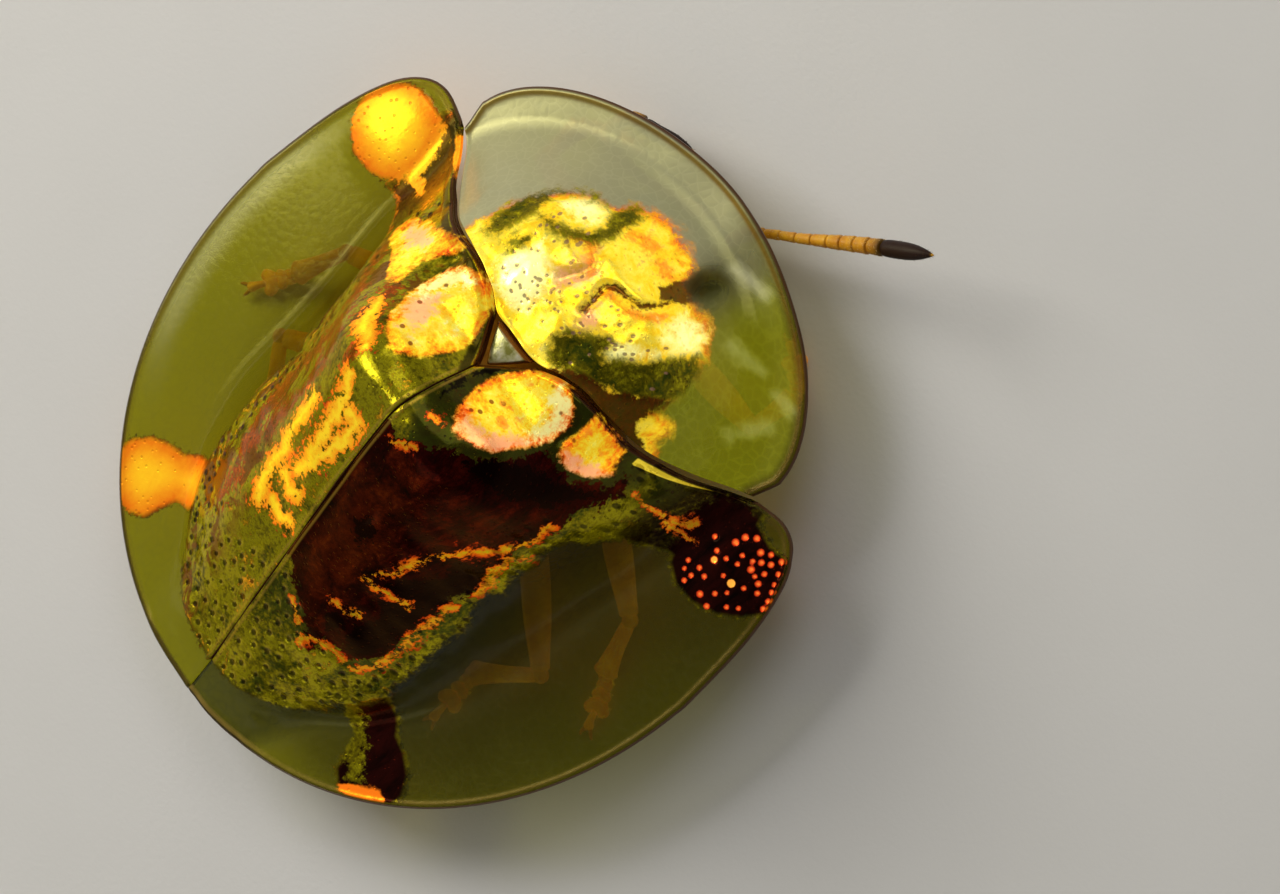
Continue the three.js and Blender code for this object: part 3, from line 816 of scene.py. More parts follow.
# %% The wing cover plates
def cover_plan(rows, cols):
    """Plan points of one wing cover, with its outer line and its base line."""
    u = np.linspace(0, 1, cols)
    u = u - 0.045 * np.sin(2 * math.pi * u)
    v = np.linspace(0, 1, rows)
    inner_end = TAIL_Y - 0.5
    seam = SEAM / 2

    def base(share):
        x = seam + (HIND_ANGLE[0] - seam) * np.asarray(share, float)
        notch = NOTCH * np.clip(1 - x / NOTCH, 0, 1)
        return np.stack([x, base_y(x) + BASE_GAP + notch], -1)

    def outer(share):
        line = cover_edge(share)
        first = np.asarray(share)[..., None] <= 0
        line = np.where(first, base(1.0), line)
        return np.stack([np.maximum(line[..., 0], seam), line[..., 1]], -1)

    start = base(0.0)[1]
    end_x = outer(1.0)[0]

    def tail(share):
        share = np.asarray(share, float)
        return np.stack([seam + (end_x - seam) * share, inner_end + (TAIL_Y - inner_end) * share], -1)

    def middle(share):
        share = np.asarray(share, float)
        return np.stack([np.full_like(share, seam), start + (inner_end - start) * share], -1)

    grid = patch_grid(base, tail, middle, outer, u, v).reshape(-1, 2)
    return grid, outer(np.linspace(0, 1, 400)), base(np.linspace(1, 0, 60))


def ruffled(plan):
    """The plan points pushed about a little, so that outlines measured from them come out uneven."""
    x, y = plan.T
    push_x = noise(x * 4.5 + 3, y * 4.5) * 0.11 + noise(x * 11 + 7, y * 11) * 0.05
    push_y = noise(x * 4.5 + 40, y * 4.5 + 9) * 0.11 + noise(x * 11 + 50, y * 11 + 3) * 0.05
    return plan + np.stack([push_x, push_y], 1)


def cover_marks(plan, left):
    """Every mark's field for one wing cover; plan has x growing away from the seam."""
    straight, plan = plan, ruffled(plan)
    shoulder = SHOULDER_DISC if left else SHOULDER_PATCH
    patch = marked(straight, [shoulder, SHOULDER_STEM, REAR_PATCH])
    none = ()
    return {
        "film": np.maximum(inside_by(straight, FILM_EDGE), patch),
        "patch": patch,
        "stem": np.minimum(inside_by(plan, SHOULDER_STEM), -inside_by(plan, shoulder)),
        "edging": marked(plan, none, RIM_HIGHLIGHT_LEFT, 0.13) if left else marked(plan, RIM_HIGHLIGHT_RIGHT),
        "strip": marked(plan, none if left else REAR_STRIP),
        # glow, pink and cream: painted highlights on the bulges.
        "glow": marked((straight + plan) / 2, [GLOW_OVAL, GLOW_LOW_LEFT if left else GLOW_LOW]),
        "pink": marked(plan, GLOW_PINK_LEFT if left else GLOW_PINK),
        "cream": marked(plan, GLOW_CREAM),
        "fire": marked(plan, none, FIRE_LEFT, 0.18) if left else marked(plan, none, FIRE_RIGHT, 0.055),
        "red": marked(plan, none, RED_LEFT if left else none, 0.13),
        # Painted shade on the right cover: its dark reflection field, its black reflections and its painted
        # shadows.
        "deep": marked(plan, none if left else [DARK_REFLECTION_FIELD]),
        "night": marked(plan, none if left else BLACK_REFLECTIONS),
        "dusk": marked(plan, none if left else PAINTED_SHADOWS)}


def coarse_pits(left):
    """Places of the big pits: a band along the foot of the dome, and a field at the rear."""
    rng = np.random.default_rng(5 + left)
    band = scatter(rng, (2.0, -3.2), (3.5, 4.6), 0.19)
    inside = inside_by(band, FILM_EDGE)
    band = band[(inside > 0.02) & (inside < 0.42)]
    rear = scatter(rng, (0.2, 2.6), (2.6, 5.9), 0.23)
    keep = (inside_by(rear, FILM_EDGE) > 0.05) & (inside_by(rear, DARK_REFLECTION_FIELD) < -0.05) & (rear[:, 1] > 3.0)
    return np.concatenate([band, rear[keep]])


def lip_field(ax, base_gap):
    """Above zero on the lip behind the pronotum, which carries a painted highlight and narrows towards the
    shoulder.
    """
    width = 0.04 + 0.17 * np.clip(3.75 - ax, 0, 1)
    return np.minimum(np.minimum(base_gap - 0.03, width - base_gap), ax - 2.7)


def cover_piece(name, side, material, node):
    """One wing cover; side is 1 for the left one and -1 for the right one."""
    plan, line, border = cover_plan(COVER_ROWS, COVER_COLS)
    left = side > 0
    rim = line_distance(plan, line)
    base_gap = line_distance(plan, border)
    ax, y = plan.T
    x = ax * side
    across = cover_across(x, y)
    coarse = coarse_pits(left)
    pits = pit_field(ax, y, coarse, 0.055)
    panes = pit_field(ax, y, GLOWING_PITS, 0.062)
    top = cover_top(x, y) + cover_relief(x, y, side) + rim_roll(rim)
    top -= 0.05 * pits + 0.03 * panes * (not left)
    top -= sunk_border(base_gap)
    points = both_sheets(x, y, top, rim, 0.11 + 0.12 * (1 - step(0.8, 1.2, across)))
    values = cover_marks(plan, left)
    values.update({
        "rim": rim, "pit": pits, "pane": panes, "star": pit_field(ax, y, BRIGHTEST_GLOWING_PITS, 0.075),
        # shade is 1 on the right cover, whose colours carry painted shade, and 0 on the left cover, whose
        # colours carry painted highlights.
        "seam": ax - SEAM / 2, "base": base_gap, "shade": np.full(len(plan), float(not left)),
        # veil: where the painted shade of the right flank turns redder.
        "across": across, "veil": bell(np.hypot((ax - 0.75) / 0.7, (y - 1.5) / 1.9), 1.0),
        # lip: where the lip behind the pronotum gets its painted highlight.
        "lip": lip_field(ax, base_gap),
        # band: a pale painted reflection along the left cover's brim.
        "band": step(-2.2, -0.5, y) * (1 - step(2.5, 4.5, y)) * float(left)})
    faces = plate_faces(COVER_ROWS, COVER_COLS, flip=not left)
    make_piece(name, points, [faces], material, node, for_both(values))
    print(name, "has", len(faces), "faces and", len(coarse), "coarse pits")


# %% [markdown]
# The gold and the clear horn
#
# One finish covers a whole plate. Where there is film the surface is a metal with
# a thin clear coat, and the marks pick its colour: olive green ground, streaks of
# orange fire, bright ovals of painted highlight behind the pronotum, and on the
# right flank painted shade, a deep maroon that is almost black. The film also gives
# off a faint painted glow. Where there is no film the horn is see-through,
# yellowish, with a faint net of cells, and in places painted reflection, painted
# shade and painted glow.

# %% Colours of film and horn
# The brightest of these colours also serve the painted highlights, the darkest the painted shade of the right
# flank, and the horn's pale, dark and glowing colours are painted light.
CREAM = (1.0, 0.91, 0.34)
LEMON = (1.0, 0.82, 0.08)
YELLOW = (1.0, 0.66, 0.02)
GOLD = (0.95, 0.42, 0.012)
PINK = (1.0, 0.40, 0.20)
ORANGE = (1.0, 0.20, 0.008)
RED = (0.36, 0.022, 0.004)
RUST = (0.14, 0.030, 0.002)
MAROON = (0.028, 0.0010, 0.0007)
NIGHT_BLACK = (0.004, 0.0007, 0.0005)
OLIVE = (0.20, 0.16, 0.003)
MOSS = (0.38, 0.33, 0.006)
LIME = (0.52, 0.46, 0.010)
LEAF = (0.055, 0.070, 0.003)
DUSKY = (0.040, 0.028, 0.003)
BARK = (0.05, 0.015, 0.006)
SEAM_HIGHLIGHT = (0.60, 0.36, 0.05)
HORN_TINT = (0.60, 0.585, 0.09)
HORN_GLOSS = (0.20, 0.195, 0.015)
HORN_CLOUD = (0.32, 0.30, 0.04)
HORN_SHADE = (0.020, 0.026, 0.002)
HORN_GLOW = (0.40, 0.42, 0.006)
PALE_REFLECTION_COLOUR = (0.62, 0.60, 0.42)
PALE_REFLECTION_GLOW = (0.13, 0.13, 0.07)
RIM_BROWN = (0.10, 0.035, 0.008)
RIM_TAN = (0.26, 0.17, 0.03)
NO_LIGHT = (0.0, 0.0, 0.0)
FILM_METAL = 0.94
print("the film's brightest colour is", CREAM, "and its darkest", NIGHT_BLACK)


# %% The film and the horn as shaders
class Ink:
    """The noises that one plate's finish shares, and its marks with torn edges."""

    def __init__(self, sheet, torn, crumbs, ragged):
        self.sheet = sheet
        self.torn = torn
        self.crumbs = crumbs
        self.ragged = ragged

    def mark(self, name, low=-0.02, high=0.03, amount=1.0):
        """1 on a mark and 0 off it; amount says how far the noises tear its edge."""
        return self.sheet.step(self.sheet.value(name) + self.ragged * amount, low, high)

    def mottle(self, torn, crumbs, stops, level=0.5):
        """Colours that wander with the noises round a level of the ramp."""
        return self.sheet.ramp(self.torn * torn + self.crumbs * crumbs + level, stops)


def film_shader(sheet, colour, pits, coat, light, rough, metal=FILM_METAL):
    """Gold film under clear horn: metal with a coat, pitted; light is a painted glow, given out as emission.
    """
    dots = 1 - sheet.step(sheet.cells(7.5, randomness=0.9), 0.13, 0.24)
    colour = sheet.blend(dots * 0.5, colour, MAROON)
    colour = sheet.blend(pits, colour, NIGHT_BLACK)
    height = sheet.noise(4.0, 2.5, 0.55) * 0.45 + sheet.noise(38.0) * 0.04 - dots * 0.35
    return sheet.surface(Base_Color=colour, Metallic=metal, Roughness=rough,
                         Normal=sheet.bump(height, 0.03, 0.5), Specular_IOR_Level=0.15,
                         Specular_Tint=(1.0, 0.72, 0.20), Coat_Weight=coat, Coat_Roughness=0.06,
                         Coat_IOR=1.45, Emission_Color=light, Emission_Strength=0.85)


def horn_shader(sheet, rim, haze, brim_shade=0.0, brim_glow=0.0):
    """Clear yellowish horn: mostly see-through, with gloss, a net of cells and a brown rim.

    The three shares after the rim are painted light: a pale painted reflection with a
    faint glow, painted shade that makes the horn dark and dull, and a painted glow.
    """
    net = sheet.cells(5.2, "DISTANCE_TO_EDGE", randomness=0.8)
    lines = 1 - sheet.step(net, 0.02, 0.09)
    cloud = sheet.noise(0.9, 3.0)
    edge = 1 - sheet.step(rim, 0.02, 0.055)
    pale = sheet.step(rim, 0.05, 0.08) * (1 - sheet.step(rim, 0.11, 0.2))
    clear = sheet.node("ShaderNodeBsdfTransparent", {}, {"Color": HORN_TINT})
    body = sheet.blend(cloud, HORN_GLOSS, HORN_CLOUD)
    # Painted shade, painted reflection and painted glow on the horn.
    body = sheet.blend(brim_shade, body, HORN_SHADE) if brim_shade else body
    body = sheet.blend(haze, body, PALE_REFLECTION_COLOUR)
    body = sheet.blend(pale, body, RIM_TAN)
    body = sheet.blend(edge, body, RIM_BROWN)
    inner = sheet.step(rim, 0.1, 0.3)
    light = sheet.blend(brim_glow * inner, NO_LIGHT, HORN_GLOW)
    light = sheet.blend(haze * inner, light, PALE_REFLECTION_GLOW)
    wet = inner * (1 - haze * 1.7)
    gloss = sheet.surface(Base_Color=body, Metallic=0.5, Roughness=0.36 - wet * 0.22 + brim_shade * 0.3,
                          Normal=sheet.bump(net * 0.5 + cloud * 0.6, 0.03, 0.3),
                          Coat_Weight=0.12 + wet * 0.6 - brim_shade * 0.5, Coat_Roughness=0.12, Coat_IOR=1.55,
                          Emission_Color=light, Emission_Strength=1.0)
    share = 0.12 + lines * 0.06 + cloud * 0.04 + pale * 0.14 + haze + brim_shade * 0.5 + brim_glow * 0.12
    share = (share * (1 - sheet.value("under"))).most(edge * 0.9)
    return sheet.mixed(share, clear, gloss)


# %% The finish of the wing covers
def film_ground(ink, broad, stretched, shade, across):
    """Olive ground with gold and orange in it, rust and red streaks on the left flank, and painted shadow on
    the right cover.
    """
    sheet, torn, crumbs = ink.sheet, ink.torn, ink.crumbs
    colour = sheet.ramp(broad * 0.16 + torn * 0.12 + crumbs * 0.12 + 0.56 - shade * 0.06,
                        [(0.22, DUSKY), (0.36, LEAF), (0.46, OLIVE), (0.56, MOSS), (0.66, OLIVE),
                         (0.76, GOLD), (0.92, ORANGE)])
    # Painted shadow: dark mottled fields on the right cover.
    shadow = ink.mottle(0.15, 0.1, [(0.35, DUSKY), (0.7, LEAF), (0.9, OLIVE)])
    colour = sheet.blend(ink.mark("dusk", -0.1, 0.15), colour, shadow)
    rust = sheet.step(sheet.swing(2.2, 3.0, 0.6, stretched, 0.8) + crumbs * 0.3, -0.1, 0.3) * (1 - shade)
    colour = sheet.blend(rust * sheet.step(across, 0.3, 0.6) * 0.85, colour, RUST)
    red = ink.mottle(0.1, 0.2, [(0.3, (0.10, 0.025, 0.002)), (0.55, (0.34, 0.05, 0.003)),
                                (0.8, (0.75, 0.20, 0.006))])
    return sheet.blend(ink.mark("red", -0.05, 0.08, 2.2) * 0.9, colour, red)


def painted_dark_flank(ink, colour):
    """Painted shade on the right flank: dark reflections painted as maroon, redder in a broad veil and nearly
    black in patches.
    """
    sheet = ink.sheet
    maroon = ink.mottle(0.2, 0.08, [(0.3, NIGHT_BLACK), (0.52, MAROON), (0.68, (0.085, 0.005, 0.002)),
                                    (0.9, (0.22, 0.030, 0.004))])
    ruby = ink.mottle(0.2, 0.1, [(0.3, MAROON), (0.6, (0.11, 0.012, 0.002)), (0.85, (0.24, 0.045, 0.004))])
    veil = sheet.step(sheet.value("veil") + ink.torn * 0.25, 0.2, 0.9)
    colour = sheet.blend(ink.mark("deep"), colour, sheet.blend(veil * 0.7, maroon, ruby))
    return sheet.blend(ink.mark("night") * 0.92, colour, NIGHT_BLACK)


def streak_colours(ink, shade):
    """Broad orange fire for the left side, and fine streaks with a lime core for the right side."""
    sheet, torn, crumbs = ink.sheet, ink.torn, ink.crumbs
    heart = sheet.value("fire")
    broad = sheet.ramp(heart * 3.0 + crumbs * 0.14 + torn * 0.1 + 0.35 - shade * 0.25,
                       [(0.12, RED), (0.3, ORANGE), (0.62, GOLD), (0.85, YELLOW)])
    fine = sheet.ramp(heart * 4 + crumbs * 0.12 + torn * 0.08 + 0.3,
                      [(0.15, RED), (0.32, (0.80, 0.11, 0.005)), (0.45, (0.75, 0.26, 0.008)), (0.6, LIME)])
    return sheet.blend(shade, broad, fine), fine


def glow_colour(ink, shade):
    """Painted highlights on the bulges behind the pronotum: yellow with orange blotches, pink, cream and dark
    specks.
    """
    sheet, torn, crumbs = ink.sheet, ink.torn, ink.crumbs
    depth = sheet.step(sheet.value("glow"), 0.0, 0.35)
    painted_highlight = sheet.ramp(crumbs * 0.13 + torn * 0.20 + depth * 0.22 + 0.50 - shade * 0.06,
                      [(0.22, RED), (0.36, (0.95, 0.14, 0.006)), (0.5, (1.0, 0.40, 0.01)), (0.62, YELLOW),
                       (0.8, LEMON), (0.98, CREAM)])
    blotch = sheet.step(sheet.noise(2.6, 3.0, 0.6), 0.52, 0.60) * (1 - ink.mark("cream", -0.1, 0.15))
    painted_highlight = sheet.blend(blotch * (0.25 + shade * 0.35), painted_highlight, (0.95, 0.20, 0.02))
    painted_highlight = sheet.blend(ink.mark("pink", -0.08, 0.12) * 0.85, painted_highlight, PINK)
    painted_highlight = sheet.blend(ink.mark("cream", -0.08, 0.12) * 0.85, painted_highlight, CREAM)
    specks = (1 - sheet.step(sheet.cells(3.6), 0.13, 0.22)) * sheet.step(sheet.noise(1.7), 0.42, 0.55)
    return sheet.blend(specks * 0.85, painted_highlight, (0.20, 0.03, 0.004))


def patch_colours(ink, shade, streak, edging):
    """The marks that run out over the brim: their colour, with a painted highlight on the left cover and
    painted shade on the right one, their bright part and the shoulder's stem.
    """
    sheet, torn, crumbs = ink.sheet, ink.torn, ink.crumbs
    # Painted shade, near black, for the right cover's patches; a painted highlight, which also glows, for the
    # left cover's.
    dark = sheet.ramp(torn * 0.2 + 0.5, [(0.35, NIGHT_BLACK), (0.8, (0.05, 0.005, 0.003))])
    middle = sheet.step(sheet.value("patch"), 0.0, 0.6)
    shine = sheet.ramp(torn * 0.08 + crumbs * 0.03 + 0.25 + middle * 0.45,
                       [(0.2, (0.60, 0.11, 0.004)), (0.45, (0.72, 0.27, 0.008)), (0.8, (0.80, 0.48, 0.012))])
    stem = sheet.step(sheet.value("stem") + ink.ragged * 0.8, -0.02, 0.1)
    bark = ink.mottle(0.2, 0.16, [(0.35, NIGHT_BLACK), (0.55, DUSKY), (0.74, OLIVE), (0.95, LIME)], 0.46)
    colour = sheet.blend(stem * 0.9, sheet.blend(shade, shine, dark), bark)
    # Painted highlight along the rim of the patches, gold on the left cover and orange on the right.
    rim_highlight_colour = sheet.ramp(crumbs * 0.15 + 0.5 - shade * 0.3, [(0.3, ORANGE), (0.5, GOLD), (0.7, YELLOW)])
    colour = sheet.blend(sheet.step(edging + ink.ragged * 0.5, -0.03, 0.05), colour, rim_highlight_colour)
    strip = ink.mottle(0.1, 0.15, [(0.3, DUSKY), (0.5, OLIVE), (0.75, LIME)])
    colour = sheet.blend(ink.mark("strip", -0.05, 0.08), colour, strip)
    return sheet.blend(ink.mark("fire", amount=0.5) * shade, colour, streak), shine, stem


def cover_finish():
    """The finish of the wing covers; shade is 1 on the right one, whose colours carry painted shade, and 0 on
    the left one, whose colours carry painted highlights.
    """
    sheet = Sheet("wing_cover_film")
    shade, rim, across, base, seam, edging, pane = (
        sheet.value(name) for name in ("shade", "rim", "across", "base", "seam", "edging", "pane"))
    stretched = sheet.place((1.0, 0.45, 1.0))
    broad = sheet.swing(1.3, 3.0, 0.55, stretched, 0.6)
    torn = sheet.swing(3.2, 4.0, 0.68, stretched, 0.5)
    crumbs = sheet.swing(12.0, 3.0, 0.72)
    ragged = torn * 0.11 + crumbs * 0.09
    ink = Ink(sheet, torn, crumbs, ragged)

    colour = painted_dark_flank(ink, film_ground(ink, broad, stretched, shade, across))
    flame, streak = streak_colours(ink, shade)
    fire = ink.mark("fire", amount=1.5 - shade * 0.6)
    colour = sheet.blend(fire, colour, flame)
    # Painted highlights on the bulges behind the pronotum, which also get a painted glow further down.
    painted_highlight = glow_colour(ink, shade)
    glow = ink.mark("glow", -0.03, 0.05, 0.3)
    colour = sheet.blend(glow, colour, painted_highlight)

    # Lines and edges: a painted highlight on the lip at the base, stronger on the right cover, and one beside
    # the seam; painted shade at the foot of the dome; and the dark joints.
    lip = sheet.step(sheet.value("lip"), 0.0, 0.02) * (0.2 + shade * 0.8)
    colour = sheet.blend(lip * 0.9, colour, LEMON)
    line = sheet.step(seam, 0.03, 0.06) * (1 - sheet.step(seam, 0.07, 0.11))
    colour = sheet.blend(line * 0.4, colour, SEAM_HIGHLIGHT)
    # Painted shade along the film's outer edge, where the dome falls away.
    foot = 1 - sheet.step(sheet.value("film") + crumbs * 0.05, 0.0, 0.09)
    foot = foot * (1 - sheet.step(sheet.value("patch"), -0.1, 0.1))
    colour = sheet.blend(foot * 0.8, colour, DUSKY)
    joint = (1 - sheet.step(seam, 0.0, 0.022)).most(1 - sheet.step(base, 0.015, 0.04))
    colour = sheet.blend(joint, colour, BARK)

    # The patches on the brim, and a painted glow in the small round pits of the right one.
    on_brim = sheet.step(across + torn * 0.06, 0.98, 1.12)
    patch = sheet.step(sheet.value("patch"), -0.05, 0.1) * on_brim
    patch_colour, shine, stem = patch_colours(ink, shade, streak, edging)
    colour = sheet.blend(patch, colour, patch_colour)
    stars = sheet.step(sheet.value("star"), 0.4, 0.6)
    pit_glow = sheet.ramp(pane, [(0.3, (0.20, 0.008, 0.002)), (0.6, (0.62, 0.045, 0.008)),
                              (0.95, (1.0, 0.22, 0.03))])
    pit_glow = sheet.blend(stars, pit_glow, (1.0, 0.42, 0.05))
    dots = sheet.step(pane, 0.3, 0.55).most(stars) * (0.12 + shade * 0.88)
    colour = sheet.blend(dots, colour, pit_glow)
    brink = sheet.step(base, 0.03, 0.05) * (1 - sheet.step(base + torn * 0.03, 0.14, 0.2))
    brink = brink * (1 - shade) * (1 - sheet.step(edging, -0.02, 0.04))
    colour = sheet.blend(brink * 0.9, colour, DUSKY)

    # Painted glow: the film gives off a faint light of its own colour, more on the painted highlights, the
    # fire, the lip, the left patches, the pits and the rim spots. Then the film over the horn.
    light = sheet.blend(0.13, NO_LIGHT, colour)
    light = sheet.blend(glow * 0.75, light, painted_highlight)
    light = sheet.blend(fire * (0.6 - shade * 0.35), light, flame)
    light = sheet.blend(lip * 0.4, light, YELLOW)
    light = sheet.blend(patch * (1 - shade) * (1 - stem) * 0.7, light, shine)
    light = sheet.blend(dots * shade, light, pit_glow)
    light = sheet.blend(sheet.step(edging, 0.0, 0.05) * patch * 0.7, light, ORANGE)
    pits = sheet.step(sheet.value("pit"), 0.3, 0.6)
    bare = (1 - shade) * sheet.step(across, 0.3, 0.7)
    coat = 0.14 - ink.mark("deep") * 0.10 - patch * shade * 0.08 - bare * 0.1
    flank = (1 - shade) * sheet.step(across, 0.35, 0.75)
    film = film_shader(sheet, colour, pits, coat, light, 0.18, FILM_METAL - flank * 0.5)
    # A pale painted reflection along the left cover's brim, and painted shade on the right cover's brim next
    # to the dome.
    band = (1 - sheet.step(rim + broad * 0.05, 0.3, 0.75)) * sheet.value("band")
    brim_shade = 1 - sheet.step(across + broad * 0.02, 1.0, 1.5)
    horn = horn_shader(sheet, rim, band * 0.3, brim_shade * shade)
    share = sheet.step(sheet.value("film") + ragged * 0.6, -0.03, 0.04) * sheet.step(rim, 0.05, 0.09)
    print("the wing cover finish has", len(sheet.tree.nodes), "nodes")
    return sheet.finish(sheet.mixed(share, horn, film))


cover_material = cover_finish()
cover_piece("wing_cover_left", 1, cover_material, "elytron_left")
cover_piece("wing_cover_right", -1, cover_material, "elytron_right")

# %% [markdown]
# The pronotum
#
# The half-moon plate over the head has its own island of film, folded like
# crumpled foil, and a wide clear brim. Its cream lobes and brighter middle are
# painted highlights, its dark fields painted shade, and the brim carries a pale
# painted reflection, streaks of painted reflection and a painted glow. The black
# eye shows through the horn beside the island. The plate is one grid again, this
# time between four edges: the wavy hind edge and three parts of the round front edge.

# %% Marks of the pronotum
SHIELD_FILM = [
    (2.3, -2.6), (2.15, -3.3), (2.12, -3.62), (2.1, -3.92), (2.04, -4.15), (1.92, -4.42), (1.68, -4.71),
    (1.38, -4.95), (1.06, -5.03), (0.88, -5.3), (0.62, -5.42), (0.38, -5.49), (0.02, -5.52), (-0.3, -5.5),
    (-0.62, -5.38), (-0.8, -5.12), (-1.12, -5.06), (-1.5, -5.07), (-1.79, -4.9), (-2.02, -4.66),
    (-2.2, -4.4), (-2.3, -4.1), (-2.3, -3.8), (-2.32, -3.62), (-2.6, -3.6), (-2.7, -3.4), (-2.66, -3.2),
    (-2.85, -3.0), (-2.8, -2.6), (0, -2.2)]
# Painted highlights: the cream lobes of the crumpled film.
SHIELD_CREAM = [
    [(1.26, -3.34), (1.18, -3.82), (1.05, -4.11), (0.57, -3.99), (0.36, -3.8), (0.2, -3.55), (0.25, -3.22),
     (0.59, -2.98), (0.94, -3.09)],
    [(-1.32, -4.65), (-1.23, -4.79), (-1.28, -4.93), (-1.55, -4.98), (-1.8, -4.82), (-1.88, -4.62),
     (-1.74, -4.44), (-1.52, -4.45)],
    [(-1.15, -3.79), (-1.16, -4.02), (-1.39, -4.21), (-1.63, -4.4), (-1.68, -4.24), (-1.39, -3.95),
     (-1.27, -3.76)],
    [(1.52, -4.46), (1.54, -4.6), (1.45, -4.84), (1.28, -4.95), (0.99, -4.95), (0.81, -4.87), (0.84, -4.71),
     (1.04, -4.6), (1.28, -4.53)]]
SHIELD_PINK = [
    [(0.52, -3.96), (0.54, -4.2), (0.41, -4.61), (0.13, -4.55), (0.0, -4.44), (0.04, -4.09), (0.23, -3.78)],
    [(-0.38, -3.81), (-0.33, -3.97), (-0.31, -4.16), (-0.53, -4.16), (-0.79, -4.03), (-0.52, -3.71)]]
SHIELD_FIRE = [
    [(-0.25, -4.3), (-0.36, -4.4), (-0.62, -4.41), (-0.8, -4.45), (-1.0, -4.53), (-1.13, -4.72)],
    [(0.42, -5.07), (0.21, -5.14), (-0.02, -5.19), (-0.27, -5.14), (-0.44, -5.08), (-0.6, -5.1)],
    [(0.82, -4.5), (0.6, -4.6), (0.35, -4.5), (0.18, -4.38)],
    [(0.55, -5.38), (0.3, -5.48)]]
# Painted shade: the darker fields of the pronotum's film.
SHIELD_DARK = [
    [(1.91, -3.34), (2.05, -3.53), (2.12, -4.09), (2.0, -4.47), (1.68, -4.78), (1.31, -5.02), (1.04, -5.02),
     (1.24, -4.94), (1.54, -4.74), (1.68, -4.51), (1.6, -4.19), (1.66, -3.82), (1.67, -3.54)],
    [(1.59, -4.22), (1.37, -4.38), (1.09, -4.47), (0.8, -4.66), (0.74, -4.84), (0.93, -5.01), (0.96, -5.16),
     (0.82, -5.32), (0.58, -5.3), (0.53, -5.09), (0.47, -4.86), (0.55, -4.64), (0.74, -4.46), (1.03, -4.33),
     (1.32, -4.22)],
    [(1.5, -3.56), (1.5, -3.75), (1.3, -3.99), (1.15, -3.98), (1.17, -3.75), (1.31, -3.54)],
    [(-0.36, -3.34), (-0.53, -3.63), (-0.74, -3.8), (-0.95, -4.0), (-1.07, -4.0), (-1.12, -3.76),
     (-1.29, -3.74), (-1.59, -4.06), (-1.73, -4.3), (-1.91, -4.63), (-2.2, -4.5), (-2.42, -4.15),
     (-2.25, -3.7), (-1.78, -3.42), (-1.44, -3.28), (-1.05, -3.12), (-0.68, -3.02)]]
SHIELD_BROWN = [
    [(-0.66, -4.91), (-0.68, -5.1), (-0.75, -5.27), (-1.0, -5.22), (-1.06, -5.11), (-0.96, -4.95),
     (-0.91, -4.81)],
    [(-0.75, -2.9), (-1.2, -3.3), (-1.75, -3.5), (-2.1, -3.75), (-2.34, -3.9), (-2.34, -3.55), (-2.3, -3.3),
     (-2.55, -3.1), (-2.8, -2.9), (-2.6, -2.7), (-1.5, -2.8)]]
SHIELD_FOLD = [
    [(-0.33, -3.97), (-0.24, -4.26), (-0.2, -4.41), (-0.29, -4.5), (-0.54, -4.53), (-0.78, -4.58),
     (-0.93, -4.75), (-0.97, -4.97), (-1.1, -5.12)],
    [(0.2, -5.15), (-0.1, -5.07), (-0.09, -4.89), (-0.1, -4.76)]]
# Painted reflections: pale smears on the brim.
SHIELD_REFLECTION_SMEARS = [
    [(-0.95, -5.75), (-1.6, -5.85)],
    [(-2.0, -5.0), (-2.65, -5.05)],
    [(-3.05, -4.95), (-3.45, -5.0)],
    [(-3.2, -3.95), (-3.35, -4.45)]]
SHIELD_SPECKS = [
    [(-2.25, -3.35), (-2.38, -3.6), (-2.64, -3.5), (-2.84, -3.3), (-2.65, -3.15)]]

# %% The pronotum plate
SHIELD_ROWS = 240
SHIELD_COLS = 300
# Small pits in three loose groups: middle, spread and count.
SHIELD_PITS = [((0.35, -3.55), (0.45, 0.28), 46), ((-1.1, -4.1), (0.4, 0.2), 26),
               ((1.0, -4.4), (0.4, 0.2), 14)]


def shield_plan(rows, cols):
    u = np.linspace(0, 1, cols)
    v = np.linspace(0, 1, rows)
    v = v - 0.03 * np.sin(2 * math.pi * v)
    start = shield_points[0][0]

    def base(share):
        x = start * (1 - 2 * np.asarray(share, float))
        return np.stack([x, base_y(x)], -1)

    def near_side(share):
        return shield_edge(0.3 * np.asarray(share, float))

    def far_side(share):
        return shield_edge(1 - 0.3 * np.asarray(share, float))

    def front(share):
        return shield_edge(0.3 + 0.4 * np.asarray(share, float))

    grid = patch_grid(base, front, near_side, far_side, u, v).reshape(-1, 2)
    return grid, shield_edge(np.linspace(0, 1, 500)), base(np.linspace(0, 1, 160))


